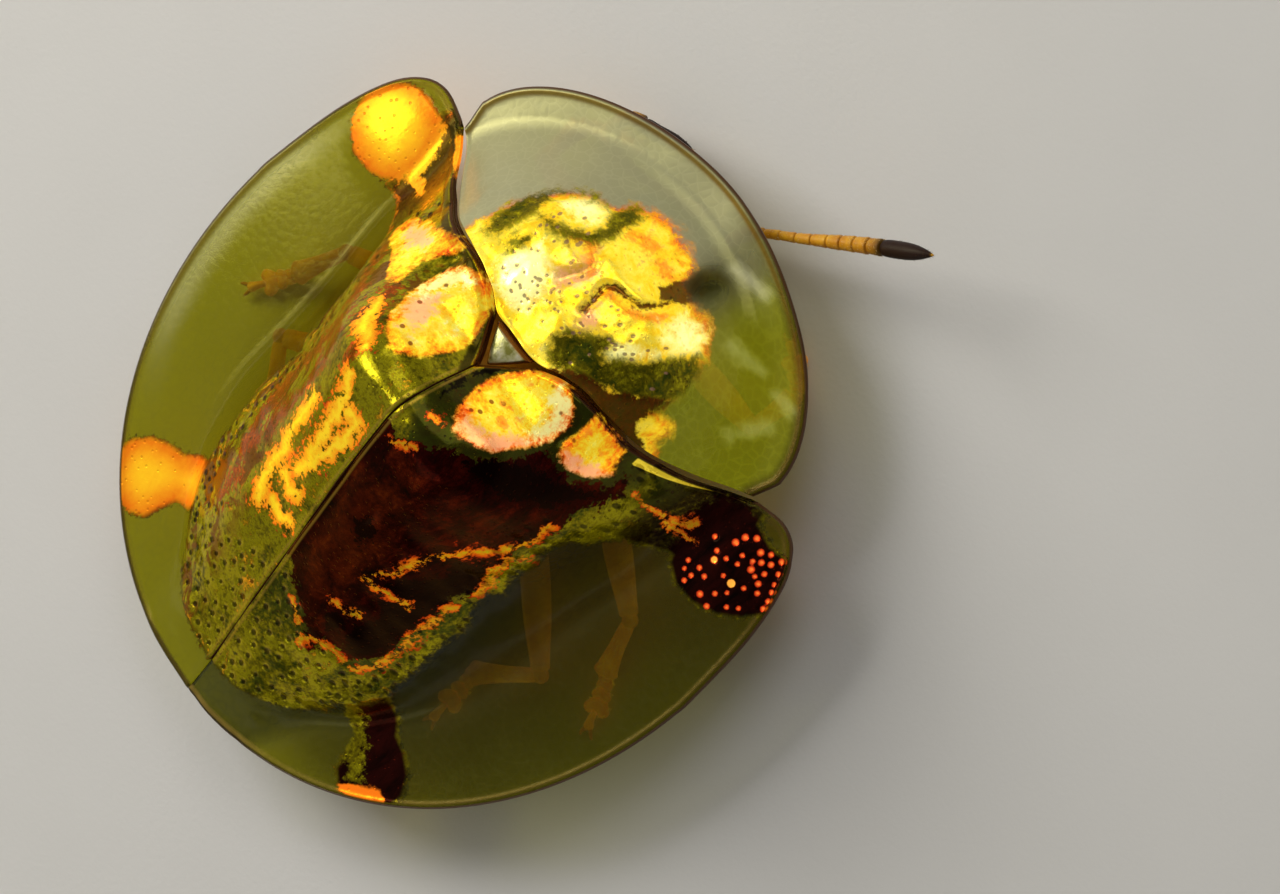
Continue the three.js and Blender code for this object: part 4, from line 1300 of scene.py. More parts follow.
def shield_relief(x, y):
    """Folds of the pronotum's middle: two lobes, a crossing fold and fine crumpling."""
    t = shield_across(x, y)
    disc = 1 - step(0.75, 1.1, t)
    plan = np.stack([x, y], 1)
    fold = -0.11 * bell(line_distance(plan, SHIELD_FOLD[0]), 0.09)
    fold += -0.10 * bell(line_distance(plan * [-1, 1], SHIELD_FOLD[0]), 0.12)
    lobes = 0.20 * bell(np.hypot((np.abs(x) - 1.35) / 0.75, (y + 4.55) / 0.5), 1.0)
    lobes += 0.13 * bell(np.hypot(x / 0.8, (y + 5.0) / 0.4), 1.0)
    groove = -0.06 * bell(np.hypot(x / 0.3, (y + 3.9) / 0.8), 1.0)
    ears = 0.08 * bell(np.hypot((np.abs(x) - 2.45) / 0.35, (y + 3.45) / 0.25), 1.0)
    crumple = noise(x * 1.5 + 3, y * 1.8 + 11) * 0.13 + noise(x * 3.4, y * 3.4 + 5) * 0.03
    wide = noise(x * 0.7 + 31, y * 0.8) * 0.05
    return (fold + lobes + groove + ears + crumple) * disc + wide


def shield_piece(material):
    plan, line, border = shield_plan(SHIELD_ROWS, SHIELD_COLS)
    x, y = plan.T
    rim = line_distance(plan, line)
    base_gap = line_distance(plan, border)
    top = shield_top(x, y) + shield_relief(x, y) + rim_roll(rim)
    top -= sunk_border(base_gap) - 0.03 * bell(base_gap - 0.07, 0.05)
    rng = np.random.default_rng(3)
    spots = np.concatenate([rng.normal(middle, spread, (count, 2)) for middle, spread, count in SHIELD_PITS])
    dots = pit_field(x, y, spots, 0.036)
    top -= 0.02 * dots
    points = both_sheets(x, y, top, rim, 0.10 + 0.1 * (1 - step(0.7, 1.1, shield_across(x, y))))
    values = {
        "film": marked(plan, [SHIELD_FILM]), "cream": marked(plan, SHIELD_CREAM),
        "pink": marked(plan, SHIELD_PINK), "fire": marked(plan, strokes=SHIELD_FIRE, width=0.10),
        "dark": marked(plan, SHIELD_DARK), "brown": marked(plan, SHIELD_BROWN, SHIELD_FOLD[:1], 0.06),
        "specks": marked(plan, SHIELD_SPECKS), "smear": marked(plan, strokes=SHIELD_REFLECTION_SMEARS, width=0.12),
        # far is the brim's right side, where the horn gets a painted glow.
        "rim": rim, "base": base_gap, "pit": dots, "far": step(0.8, 2.0, -x),
        # A pale painted reflection over the brim's left side.
        "haze": step(-2.3, 0.0, x + 0.5 * noise(x, y)) * step(0.10, 0.42, np.hypot(x + 0.93, y + 5.33))}
    faces = plate_faces(SHIELD_ROWS, SHIELD_COLS, flip=False)
    make_piece("pronotum_plate", points, [faces], material, "pronotum", for_both(values))
    print("pronotum plate has", len(faces), "faces")


# %% The finish of the pronotum
def shield_gold(ink, core, cream):
    """The bright film, with painted highlights: gold to cream, brightest inside its edge and on the cream
    lobes, with dusty pink, fire and darker crumbs.
    """
    sheet, torn, crumbs = ink.sheet, ink.torn, ink.crumbs
    fine_torn = sheet.swing(5.5, 3.0, 0.65, distortion=1.0)
    gold = sheet.ramp(torn * 0.20 + fine_torn * 0.10 + crumbs * 0.06 + core * 0.40 + 0.22,
                      [(0.02, (0.30, 0.05, 0.006)), (0.18, ORANGE), (0.34, GOLD), (0.55, YELLOW),
                       (0.78, LEMON), (0.98, CREAM)])
    dusty = ink.mottle(0.2, 0.2, [(0.3, (0.36, 0.14, 0.06)), (0.48, (0.80, 0.34, 0.12)), (0.68, PINK),
                                  (0.85, YELLOW)])
    gold = sheet.blend(ink.mark("pink", -0.15, 0.25, 2.0) * 0.85, gold, dusty)
    fire = ink.mottle(0.1, 0.2, [(0.3, RED), (0.5, ORANGE), (0.7, GOLD), (0.9, YELLOW)])
    gold = sheet.blend(ink.mark("fire", -0.02, 0.10, 1.3) * 0.8, gold, fire)
    gold = sheet.blend(sheet.step(fine_torn + crumbs * 0.3, 0.45, 0.9) * 0.5, gold, (0.55, 0.24, 0.03))
    return sheet.blend(cream * 0.9, gold, (1.0, 0.94, 0.36))


def shield_finish():
    """The finish of the pronotum: the crumpled film with painted highlights and painted shade, and the brim
    with painted reflections and a painted glow.
    """
    sheet = Sheet("pronotum_film")
    rim, base, film_field, pale_reflection_area = (sheet.value(name) for name in ("rim", "base", "film", "haze"))
    torn = sheet.swing(2.6, 4.0, 0.65, distortion=0.5)
    crumbs = sheet.swing(10.0, 3.0, 0.7)
    ragged = torn * 0.09 + crumbs * 0.05
    ink = Ink(sheet, torn, crumbs, ragged)

    # Painted highlights: brighter inside the film's edge and on the cream lobes.
    core = sheet.step(film_field + torn * 0.10, -0.04, 0.17)
    cream = ink.mark("cream", -0.1, 0.22, 1.3)
    gold = shield_gold(ink, core, cream)
    # Painted shade on the film's dark fields.
    dark = ink.mark("dark", -0.10, 0.10, 1.3)
    shadow = ink.mottle(0.18, 0.12, [(0.2, (0.030, 0.045, 0.003)), (0.4, LEAF), (0.54, OLIVE), (0.68, LIME),
                                     (0.85, GOLD)])
    colour = sheet.blend(dark, gold, shadow)
    colour = sheet.blend(ink.mark("specks", -0.03, 0.05, 2.5), colour, YELLOW)
    # Brown patches, and along the main fold a dark line of painted crease shade.
    brown = ink.mark("brown", -0.03, 0.05, 0.8)
    brown_and_crease_shade = sheet.ramp(crumbs * 0.2 + 0.5, [(0.3, DUSKY), (0.6, (0.16, 0.022, 0.003)),
                                            (0.9, (0.4, 0.09, 0.005))])
    colour = sheet.blend(brown * 0.9, colour, brown_and_crease_shade)
    colour = sheet.blend(1 - sheet.step(base, 0.01, 0.04), colour, BARK)
    # Painted glow: the film gives off a faint light of its own colour, more where it is brightest.
    light = sheet.blend(0.12, NO_LIGHT, colour)
    light = sheet.blend((1 - dark) * (1 - brown) * (0.35 + core * 0.32 + cream * 0.3), light, gold)
    spots = sheet.step(sheet.value("pit"), 0.3, 0.6)
    colour = sheet.blend(spots * 0.75, colour, (0.30, 0.17, 0.10))
    light = sheet.blend(spots * 0.75, light, (0.10, 0.05, 0.03))
    film = film_shader(sheet, colour, 0.0, 0.14, light, 0.24)

    # Painted reflection and painted glow on the brim: a pale reflection on the left side, streaks of
    # reflection, and a glow on the right side.
    smear = sheet.swing(1.6, 3.0, where=sheet.place((0.5, 1.4, 1.0)))
    brim_glow = (1 - pale_reflection_area) * sheet.step(sheet.value("far"), 0.0, 1.0)
    haze = pale_reflection_area * 0.58 + sheet.step(sheet.value("smear") + smear * 0.12, -0.1, 0.2) * 0.35
    horn = horn_shader(sheet, rim, haze, 0.0, brim_glow)
    share = sheet.step(film_field + ragged * 0.9, -0.06, 0.08).most(1 - sheet.step(base, 0.01, 0.04))
    share = share * sheet.step(rim, 0.03, 0.07)
    print("the pronotum finish has", len(sheet.tree.nodes), "nodes")
    return sheet.finish(sheet.mixed(share, horn, film))


shield_piece(shield_finish())

# %% [markdown]
# Clay for small parts
#
# Legs, feelers, mouth and head are made from two forms: a tube that follows a path
# with a changing width, and a ball with uneven radii. Clay gathers many of them
# into one mesh. Hairs are thin three-sided needles added the same way. A number
# stored on every point says which tone the finish gives it.

# %% The Clay class
HAIR_THICK = 0.006
HAIR_TONE = -1.0
ROUND = 2 * math.pi


class Clay:
    """Tubes, balls and hairs gathered into one mesh."""

    def __init__(self):
        self.points = []
        self.quads = []
        self.tris = []
        self.tones = []
        self.count = 0

    def add(self, points, quads=(), tris=(), tone=0.0):
        points = np.asarray(points, float).reshape(-1, 3)
        if len(quads):
            self.quads.append(np.asarray(quads).reshape(-1, 4) + self.count)
        if len(tris):
            self.tris.append(np.asarray(tris).reshape(-1, 3) + self.count)
        self.points.append(points)
        self.tones.append(np.broadcast_to(np.asarray(tone, float), (len(points),)))
        self.count += len(points)

    def tube(self, path, radii, sides=16, tone=0.0, up=(0, 0, 1)):
        """A closed tube; radii are one number or two, across and upright, for each path point."""
        path = np.asarray(path, float)
        radii = np.asarray(radii, float)
        if radii.ndim == 1:
            radii = np.stack([radii, radii], 1)
        along_path = np.gradient(path, axis=0)
        along_path /= np.linalg.norm(along_path, axis=1)[:, None]
        across = np.cross(along_path, up)
        across /= np.linalg.norm(across, axis=1)[:, None]
        upright = np.cross(across, along_path)
        angle = np.linspace(0, ROUND, sides, endpoint=False)
        ring = path[:, None] + (across[:, None] * (np.cos(angle)[None, :, None] * radii[:, :1, None])
                                + upright[:, None] * (np.sin(angle)[None, :, None] * radii[:, 1:, None]))
        n = len(path)
        index = np.arange(n * sides).reshape(n, sides)
        after = np.roll(index, -1, axis=1)
        quads = np.stack([index[:-1], after[:-1], after[1:], index[1:]], -1).reshape(-1, 4)
        ends = np.stack([path[0], path[-1]])
        first = np.stack([after[0], index[0], np.full(sides, n * sides)], -1)
        last = np.stack([index[-1], after[-1], np.full(sides, n * sides + 1)], -1)
        tones = np.asarray(tone, float)
        if tones.ndim == 1:
            tones = np.concatenate([np.repeat(tones, sides), tones[[0, -1]]])
        self.add(np.concatenate([ring.reshape(-1, 3), ends]), quads, np.concatenate([first, last]), tones)

    def ball(self, centre, radii, rows=24, cols=32, tone=0.0, shape=None, turn=None):
        """A ball with three radii; shape may move the points of the plain unit ball."""
        polar = np.linspace(0, math.pi, rows + 1)[1:-1]
        around = np.linspace(0, ROUND, cols, endpoint=False)
        p, r = np.meshgrid(polar, around, indexing="ij")
        body = np.stack([np.sin(p) * np.cos(r), np.sin(p) * np.sin(r), np.cos(p)], -1).reshape(-1, 3)
        unit_ball = np.concatenate([body, [[0, 0, 1], [0, 0, -1]]])
        points = unit_ball if shape is None else shape(unit_ball)
        points = points * np.asarray(radii, float)
        if turn is not None:
            points = points @ np.asarray(turn, float)
        n = rows - 1
        index = np.arange(n * cols).reshape(n, cols)
        after = np.roll(index, -1, axis=1)
        quads = np.stack([index[:-1], index[1:], after[1:], after[:-1]], -1).reshape(-1, 4)
        top = np.stack([index[0], after[0], np.full(cols, n * cols)], -1)
        bottom = np.stack([after[-1], index[-1], np.full(cols, n * cols + 1)], -1)
        self.add(points + np.asarray(centre, float), quads, np.concatenate([top, bottom]), tone)

    def hairs(self, roots, directions, length, thickness=HAIR_THICK, tone=HAIR_TONE):
        """Three-sided needles from roots along directions."""
        roots = np.asarray(roots, float)
        directions = np.asarray(directions, float)
        directions = directions / np.linalg.norm(directions, axis=1)[:, None]
        length = np.broadcast_to(length, len(roots))
        side = np.cross(directions, [0.31, 0.17, 0.93])
        side /= np.linalg.norm(side, axis=1)[:, None]
        other = np.cross(directions, side)
        corners = [roots + thickness * (math.cos(a) * side + math.sin(a) * other)
                   for a in (0, ROUND / 3, 2 * ROUND / 3)]
        tips = roots + directions * length[:, None]
        points = np.stack([*corners, tips], 1).reshape(-1, 3)
        first = np.arange(len(roots))[:, None] * 4
        tris = np.concatenate([first + t for t in ([0, 1, 3], [1, 2, 3], [2, 0, 3])])
        self.add(points, (), tris, tone)

    def piece(self, name, material, node, slot):
        points = np.concatenate(self.points)
        faces = [np.concatenate(block) for block in (self.quads, self.tris) if block]
        make_piece(name, points, faces, material, node, {"tone": np.concatenate(self.tones)})
        print(name, "made of", sum(len(block) for block in faces), "faces")


def along_axes(way):
    """Two directions square to a way: one level, one standing on it."""
    side = unit(np.cross(way, (0, 0, 1)))
    return side, np.cross(side, way)


def soft_path(points, count):
    """A smooth path through a few points in space."""
    points = np.asarray(points, float)
    lengths = np.concatenate([[0], np.cumsum(np.linalg.norm(np.diff(points, axis=0), axis=1))])
    fine = np.linspace(0, lengths[-1], count)
    return np.stack([along(list(zip(lengths, points[:, k])), fine) for k in range(3)], 1)


# %% [markdown]
# Finishes of the body
#
# The beetle's own horn is honey coloured: satin, slightly mottled, darker in the
# joints. One recipe serves legs, feelers, head and underside with other colours.

# %% Horn of the body
SPOT = (0.012, 0.008, 0.006)
HAIR_COLOUR = (0.75, 0.55, 0.22)


def horn_finish(name, light, dark, spot=SPOT, rough=0.34, scale=1.0, shine=0.0, glint=0.5):
    """Satin horn: a point's tone makes it dark above 0.5 and pale, as hairs are, below zero."""
    sheet = Sheet(name)
    mottle = sheet.noise(2.2 * scale, 4.0, 0.6)
    fine = sheet.noise(22.0 * scale, 3.0, 0.6)
    grain = sheet.cells(26.0 * scale)
    tone = sheet.value("tone")
    dark_part = sheet.step(tone, 0.5, 1.0)
    colour = sheet.blend(sheet.step(mottle, 0.35, 0.68), dark, light)
    colour = sheet.blend(sheet.step(fine, 0.45, 0.8) * 0.25, colour, dark)
    colour = sheet.blend(dark_part, colour, spot)
    colour = sheet.blend(sheet.step(0 - tone, 0.2, 1.0), colour, HAIR_COLOUR)
    # shine is a painted glow in the horn's own colour.
    shader = sheet.surface(Base_Color=colour, Roughness=rough + 0.1 * (fine - 0.5),
                           Normal=sheet.bump(grain * 0.6 + fine * 0.4, 0.012, 0.35),
                           Coat_Weight=0.35 - dark_part * 0.3, Coat_Roughness=0.2, Specular_IOR_Level=glint,
                           Emission_Color=colour, Emission_Strength=shine)
    return sheet.finish(shader)


# The legs get a painted glow, so that they show through the brim; the feelers a fainter one.
leg_material = horn_finish("leg_horn", (0.88, 0.44, 0.08), (0.70, 0.28, 0.03), shine=0.2)
feeler_material = horn_finish("feeler_horn", (0.66, 0.34, 0.018), (0.46, 0.18, 0.008), (0.016, 0.005, 0.003),
                              rough=0.5, shine=0.06, glint=0.2)
head_material = horn_finish("head_horn", (0.55, 0.33, 0.06), (0.30, 0.14, 0.025))
under_material = horn_finish("underside_horn", (0.40, 0.24, 0.07), (0.17, 0.08, 0.02), rough=0.38, scale=0.7)
print("horn finishes for the legs, the feelers, the head and the underside")

# %% [markdown]
# The scutellum
#
# A small triangle of horn is set between the pronotum and the two wing covers. It
# is paler than its surroundings, with a dark edge that dips down.

# %% The scutellum
TRIANGLE_START = LOBE_Y + 0.05
TRIANGLE_LENGTH = 0.58
TRIANGLE_HALF = 0.44
TRIANGLE_Z = 4.43
TRIANGLE_DEPTH = 0.3


def scutellum_finish():
    sheet = Sheet("scutellum_horn")
    colour = sheet.ramp(sheet.noise(6.0, 3.0), [(0.38, (0.26, 0.25, 0.03)), (0.52, (0.60, 0.58, 0.26)),
                                                (0.68, (0.85, 0.80, 0.55))])
    colour = sheet.blend(1 - sheet.step(sheet.value("edge"), 0.02, 0.07), colour, (0.12, 0.02, 0.01))
    return sheet.finish(sheet.surface(
        Base_Color=colour, Metallic=0.45, Roughness=0.25, Coat_Weight=0.6, Coat_Roughness=0.1,
        Normal=sheet.bump(sheet.noise(30.0), 0.01, 0.3)))


def scutellum_piece(material):
    rows, cols = 40, 44
    t, s = np.meshgrid(np.linspace(0, 1, rows), np.linspace(-1, 1, cols), indexing="ij")
    y = TRIANGLE_START + TRIANGLE_LENGTH * t
    half = TRIANGLE_HALF * (1 - t) ** 0.85 + 0.01
    crown = 0.07 * (1 - s ** 2) * (1 - t) ** 0.5
    edge = np.minimum((1 - np.abs(s)) * half, np.minimum(y - LOBE_Y - 0.05, (1 - t) * 0.5))
    z = TRIANGLE_Z + crown - sunk_border(edge) + 0.12 * t
    top = np.stack([s * half, y, z], -1).reshape(-1, 3)
    under = top - [0, 0, TRIANGLE_DEPTH]
    edge = edge.ravel()
    faces = plate_faces(rows, cols, flip=True)
    make_piece("scutellum_plate", np.concatenate([top, under]), [faces], material,
               "scutellum", {"edge": np.concatenate([edge, edge])})
    print("the scutellum is", round(2 * TRIANGLE_HALF, 2), "mm wide")


scutellum_piece(scutellum_finish())

# %% [markdown]
# The body below
#
# Under the shell the body is a low boat of three blocks: the ring that carries the
# front legs, the chest, and the belly with its five overlapping plates. Only other
# views see it, but a beetle held up to the light shows it at once.

# %% Body blocks
BELLY_Z = 0.75
BODY_EDGE_Z = 1.8
BELLY_HAIRS = 420


def body_block(name, node, centre_y, half_x, half_y, power, over, grooves, middle_line=0.0):
    """One closed block: its plan is a superellipse, its roof follows the shell above it."""
    rows, cols = 70, 128
    angle = np.linspace(0, ROUND, cols, endpoint=False)
    reach = (np.abs(np.cos(angle)) ** power + np.abs(np.sin(angle)) ** power) ** (-1 / power)
    edge_x = half_x * reach * np.cos(angle)
    edge_y = centre_y + half_y * reach * np.sin(angle)
    share = np.sin(np.linspace(0, math.pi / 2, rows))[1:]
    x = share[:, None] * edge_x
    y = centre_y + share[:, None] * (edge_y - centre_y)
    s = share[:, None] * np.ones(cols)
    belly = BELLY_Z + (BODY_EDGE_Z - BELLY_Z) * np.clip(np.abs(x) / half_x, 0, 1) ** 3 * 0.8
    belly = belly + (BODY_EDGE_Z - belly) * s ** 14
    for place, bow, depth in grooves:
        line = y - (place + bow * (x / half_x) ** 2)
        belly += depth * bell(line, 0.035) - 0.5 * depth * step(0, 0.35, line) * (1 - step(0.35, 0.75, line))
    belly += middle_line * bell(x, 0.03) + noise(x * 2 + 3, y * 2) * 0.02
    roof = np.maximum(over(x, y), BODY_EDGE_Z)
    roof = BODY_EDGE_Z + (roof - BODY_EDGE_Z) * (1 - s ** 8)
    bottom = np.stack([x, y, belly], -1).reshape(-1, 3)
    top = np.stack([x, y, roof], -1).reshape(-1, 3)[:-cols]
    n = len(share)
    low = np.arange(n * cols).reshape(n, cols)
    high = np.arange((n - 1) * cols).reshape(n - 1, cols) + n * cols
    high = np.concatenate([high, low[-1:]])
    clay = Clay()
    centre_low = n * cols + (n - 1) * cols
    quads = []
    for sheet_index, turned in ((low, False), (high, True)):
        after = np.roll(sheet_index, -1, axis=1)
        ring = np.stack([sheet_index[:-1], sheet_index[1:], after[1:], after[:-1]], -1).reshape(-1, 4)
        quads.append(ring if turned else ring[:, ::-1])
    tris = [np.stack([low[0], np.roll(low[0], -1), np.full(cols, centre_low)], -1)[:, ::-1],
            np.stack([high[0], np.roll(high[0], -1), np.full(cols, centre_low + 1)], -1)]
    middle = [[0, centre_y, belly[0].mean()], [0, centre_y, roof[0].mean()]]
    clay.add(np.concatenate([bottom, top, middle]), np.concatenate(quads), np.concatenate(tris))
    rng = np.random.default_rng(21)
    hx = rng.uniform(-half_x * 0.9, half_x * 0.9, BELLY_HAIRS)
    hy = rng.uniform(centre_y - half_y * 0.9, centre_y + half_y * 0.9, BELLY_HAIRS)
    keep = (np.abs(hx / half_x) ** power + np.abs((hy - centre_y) / half_y) ** power) < 0.75
    hx, hy = hx[keep], hy[keep]
    hz = BELLY_Z + (BODY_EDGE_Z - BELLY_Z) * (np.abs(hx) / half_x) ** 3 * 0.8 + 0.02
    ways = np.stack([0.1 * hx, np.full(len(hx), 0.9), np.full(len(hx), -0.5)], 1)
    clay.hairs(np.stack([hx, hy, hz], 1), ways, rng.uniform(0.08, 0.15, len(hx)))
    clay.piece(name, under_material, node, "underside")


def under_cover(x, y):
    return cover_top(x, y) - 0.85 - 0.2 * dome(cover_across(x, y))


def under_shield(x, y):
    return shield_top(x, y) - 0.8 - 0.2 * dome(shield_across(x, y))


body_block("body_front_ring", "prothorax", -3.36, 2.3, 0.76, 3.5, under_shield, [(-3.1, 0.1, 0.08)], 0.05)
body_block("body_chest", "thorax", -0.95, 2.62, 1.58, 4.0, under_cover,
           [(-1.2, -0.25, 0.10), (0.1, 0.2, 0.07)], 0.07)
body_block("body_belly", "abdomen", 2.97, 2.62, 2.43, 2.9, under_cover,
           [(1.6, 0.25, 0.09), (2.35, 0.2, 0.08), (3.05, 0.15, 0.08), (3.75, 0.1, 0.08), (4.5, -0.1, 0.08)])

# %% [markdown]
# The legs
#
# Six short legs fold out from under the shell. Each has a stout thigh, a shin that
# widens to its end, and a foot of broad heart-shaped joints with brushes of sticky
# hair below and two hooked claws. The frame fixes hips, knees, ankles and toes.

# %% Joints of the legs
LEGS = {"front": [(1.0, -3.75, 0.44), (3.0, -3.95, 0.62), (3.05, -4.83, 0.43), (2.22, -5.3, 0.0)],
        "middle": [(1.5, -1.5, 0.44), (4.12, -0.1, 0.64), (4.5, 0.95, 0.43), (4.95, 1.85, 0.0)],
        "hind": [(1.4, 0.1, 0.44), (3.8, 1.8, 0.62), (2.9, 2.85, 0.43), (3.0, 4.0, 0.0)]}
# Joints of a foot: share of the way to the toe, length, width, thickness and height.
FOOT_JOINTS = [(0.16, 0.17, 0.16, 0.10, 0.21), (0.36, 0.15, 0.20, 0.09, 0.16),
               (0.60, 0.20, 0.27, 0.085, 0.13)]
SHIN_HAIRS = 90
PAD_HAIRS = 150


def bowed(start, end, rise, count):
    """A path from start to end that arches up by rise."""
    t = np.linspace(0, 1, count)[:, None]
    path = np.asarray(start) * (1 - t) + np.asarray(end) * t
    path[:, 2] += rise * np.sin(math.pi * t[:, 0])
    return path


def thigh(clay, hip, knee):
    t = np.linspace(0, 1, 30)
    width = along([(0, 0.02), (0.03, 0.11), (0.1, 0.17), (0.35, 0.26), (0.65, 0.25), (0.9, 0.18),
                   (0.98, 0.15), (1, 0.02)], t)
    knee_tone = np.where(t > 0.93, 0.62, 0.0)
    clay.tube(bowed(hip, knee, 0.02, 30), np.stack([width, width * 0.85], 1), 24, knee_tone)
    clay.ball(hip, (0.23, 0.23, 0.2), 16, 24)
    way = unit(np.subtract(knee, hip))
    clay.ball(np.add(hip, way * 0.25), (0.17, 0.17, 0.15), 14, 20, 0.3)


def shin(clay, knee, ankle, rng):
    t = np.linspace(0, 1, 30)
    width = along([(0, 0.02), (0.03, 0.1), (0.12, 0.13), (0.5, 0.15), (0.85, 0.2), (0.96, 0.21),
                   (1, 0.03)], t)
    path = bowed(knee, ankle, 0.03, 30)
    clay.tube(path, np.stack([width, width * 0.8], 1), 24)
    clay.ball(knee, (0.15, 0.15, 0.14), 14, 20, 0.65)
    way = unit(np.subtract(ankle, knee))
    side, over = along_axes(way)
    for sign in (-1, 1):
        ridge = path + side * sign * width[:, None] * 0.8
        clay.tube(ridge[3:27], np.full(24, 0.02), 8, 0.45)
    place = rng.integers(8, 29, SHIN_HAIRS)
    angle = rng.uniform(0, ROUND, SHIN_HAIRS)
    out = side * np.cos(angle)[:, None] + over * np.sin(angle)[:, None]
    roots = path[place] + out * width[place][:, None] * 0.8
    clay.hairs(roots, out * 0.5 + way, rng.uniform(0.07, 0.13, SHIN_HAIRS))


def heart(points):
    """A flat lobe, notched at its far end."""
    moved = points.copy()
    notch = 0.45 * bell(points[:, 1], 0.35) * step(0.1, 1.0, points[:, 0])
    moved[:, 0] -= notch
    moved[:, 1] *= 0.62 + 0.38 * step(-0.9, 0.6, points[:, 0])
    moved[:, 2] = np.sign(points[:, 2]) * np.abs(points[:, 2]) ** 0.8
    return moved


def foot(clay, ankle, toe, rng):
    ankle = np.asarray(ankle, float)
    toe = np.asarray(toe, float)
    flat_way = unit([toe[0] - ankle[0], toe[1] - ankle[1], 0])
    side = np.cross((0, 0, 1), flat_way)
    turn = np.stack([flat_way, side, (0, 0, 1)])
    span = np.hypot(*(toe - ankle)[:2])
    clay.ball(ankle + [0, 0, -0.06], (0.13, 0.13, 0.12), 14, 18, 0.6)
    for share, length, wide, tall, z in FOOT_JOINTS:
        centre = ankle + flat_way * span * share
        centre[2] = z
        clay.ball(centre, (length, wide, tall), 20, 28, 0.0, heart, turn)
        u = rng.uniform(-0.8, 0.9, PAD_HAIRS)
        v = rng.uniform(-0.85, 0.85, PAD_HAIRS)
        keep = (u * u + v * v < 0.85) & ~((u > 0.3) & (np.abs(v) < 0.22))
        u, v = u[keep], v[keep]
        roots = centre + flat_way * (u * length)[:, None] + side * (v * wide)[:, None]
        roots[:, 2] = z - tall * 0.5
        down = np.zeros((len(u), 3)) - [0, 0, 1] + flat_way * 0.25
        clay.hairs(roots, down, np.minimum(roots[:, 2] * 0.98, 0.14), 0.008)
        clay.hairs(roots[::5] * [1, 1, 0] + [0, 0, z + tall * 0.6], down[::5] * [1, 1, -0.4], 0.09)
    t = np.linspace(0, 1, 18)
    start = ankle + flat_way * span * 0.66
    end = ankle + flat_way * span * 1.02
    start[2], end[2] = 0.14, 0.15
    width = along([(0, 0.02), (0.1, 0.05), (0.6, 0.075), (0.9, 0.09), (1, 0.02)], t)
    clay.tube(bowed(start, end, 0.06, 18), width, 16)
    for sign in (-1, 1):
        root = end + side * sign * 0.04 - flat_way * 0.02
        path = soft_path([root, root + flat_way * 0.09 + side * sign * 0.05 + [0, 0, 0.01],
                          root + flat_way * 0.16 + side * sign * 0.07 + [0, 0, -0.04],
                          root + flat_way * 0.18 + side * sign * 0.07 + [0, 0, -0.13]], 14)
        width = along([(0, 0.04), (0.5, 0.028), (1, 0.004)], np.linspace(0, 1, 14))
        clay.tube(path, width, 12, 0.72, up=side)
        barb = soft_path([root + flat_way * 0.03, root + flat_way * 0.07 + [0, 0, -0.05],
                          root + flat_way * 0.08 + [0, 0, -0.09]], 8)
        clay.tube(barb, along([(0, 0.022), (1, 0.003)], np.linspace(0, 1, 8)), 8, 0.7, up=side)


def build_leg(which, side, seed):
    rng = np.random.default_rng(seed)
    mirror = np.array([side, 1, 1])
    hip, knee, ankle, toe = (np.array(spot) * mirror for spot in LEGS[which])
    name = which + ("_left" if side > 0 else "_right")
    parts = {"femur": lambda clay: thigh(clay, hip, knee), "tibia": lambda clay: shin(clay, knee, ankle, rng),
             "tarsus": lambda clay: foot(clay, ankle, toe, rng)}
    for part, shape in parts.items():
        clay = Clay()
        shape(clay)
        clay.piece(part + "_" + name + "_horn", leg_material, part + "_" + name, "legs")


for number, which in enumerate(LEGS):
    for side in (1, -1):
        build_leg(which, side, 31 + number * 2 + (side > 0))

# %% [markdown]
# Feelers
#
# A feeler has eleven joints: a thick first one, a small second, slender ones, and
# five stouter ones, of which the last is black with a pale tip. Each joint is its
# own little club on a shared curve.

# %% The feelers
RIGHT_FEELER = [(-0.3, -5.68, 0.82), (-0.45, -6.1, 0.7), (-1.2, -6.85, 0.95), (-2.2, -7.85, 1.35),
                (-3.1, -8.7, 1.75)]
LEFT_FEELER = [(0.3, -5.68, 0.82), (0.95, -5.4, 0.72), (1.95, -5.1, 0.7), (2.55, -5.28, 0.7),
               (2.48, -5.66, 0.7), (1.95, -5.88, 0.7), (1.3, -6.2, 0.72)]
# Each joint: its length, as a share of the feeler, and its half width.
JOINTS = [(0.115, 0.135), (0.055, 0.10), (0.08, 0.09), (0.08, 0.092), (0.08, 0.10), (0.08, 0.115),
          (0.068, 0.132), (0.068, 0.142), (0.068, 0.15), (0.068, 0.152), (0.26, 0.155)]
CLUB_START = 6


def joint_form(number, t):
    """Width and tone along one joint: the last is black with a pale tip, and the one before is dusky."""
    if number == len(JOINTS) - 1:
        return (along([(0, 0.6), (0.04, 0.9), (0.3, 1.0), (0.6, 0.9), (0.85, 0.5), (1, 0.06)], t),
                along([(0, 1.0), (0.93, 1.0), (0.99, 0.5), (1, 0.0)], t))
    profile = along([(0, 0.6), (0.06, 0.86), (0.5, 0.94), (0.88, 1.0), (0.96, 0.92), (1, 0.6)], t)
    dusky = number == len(JOINTS) - 2
    return profile, 0.66 + 0.2 * step(0.3, 1.0, t) if dusky else np.where(t > 0.95, 0.58, 0.0)


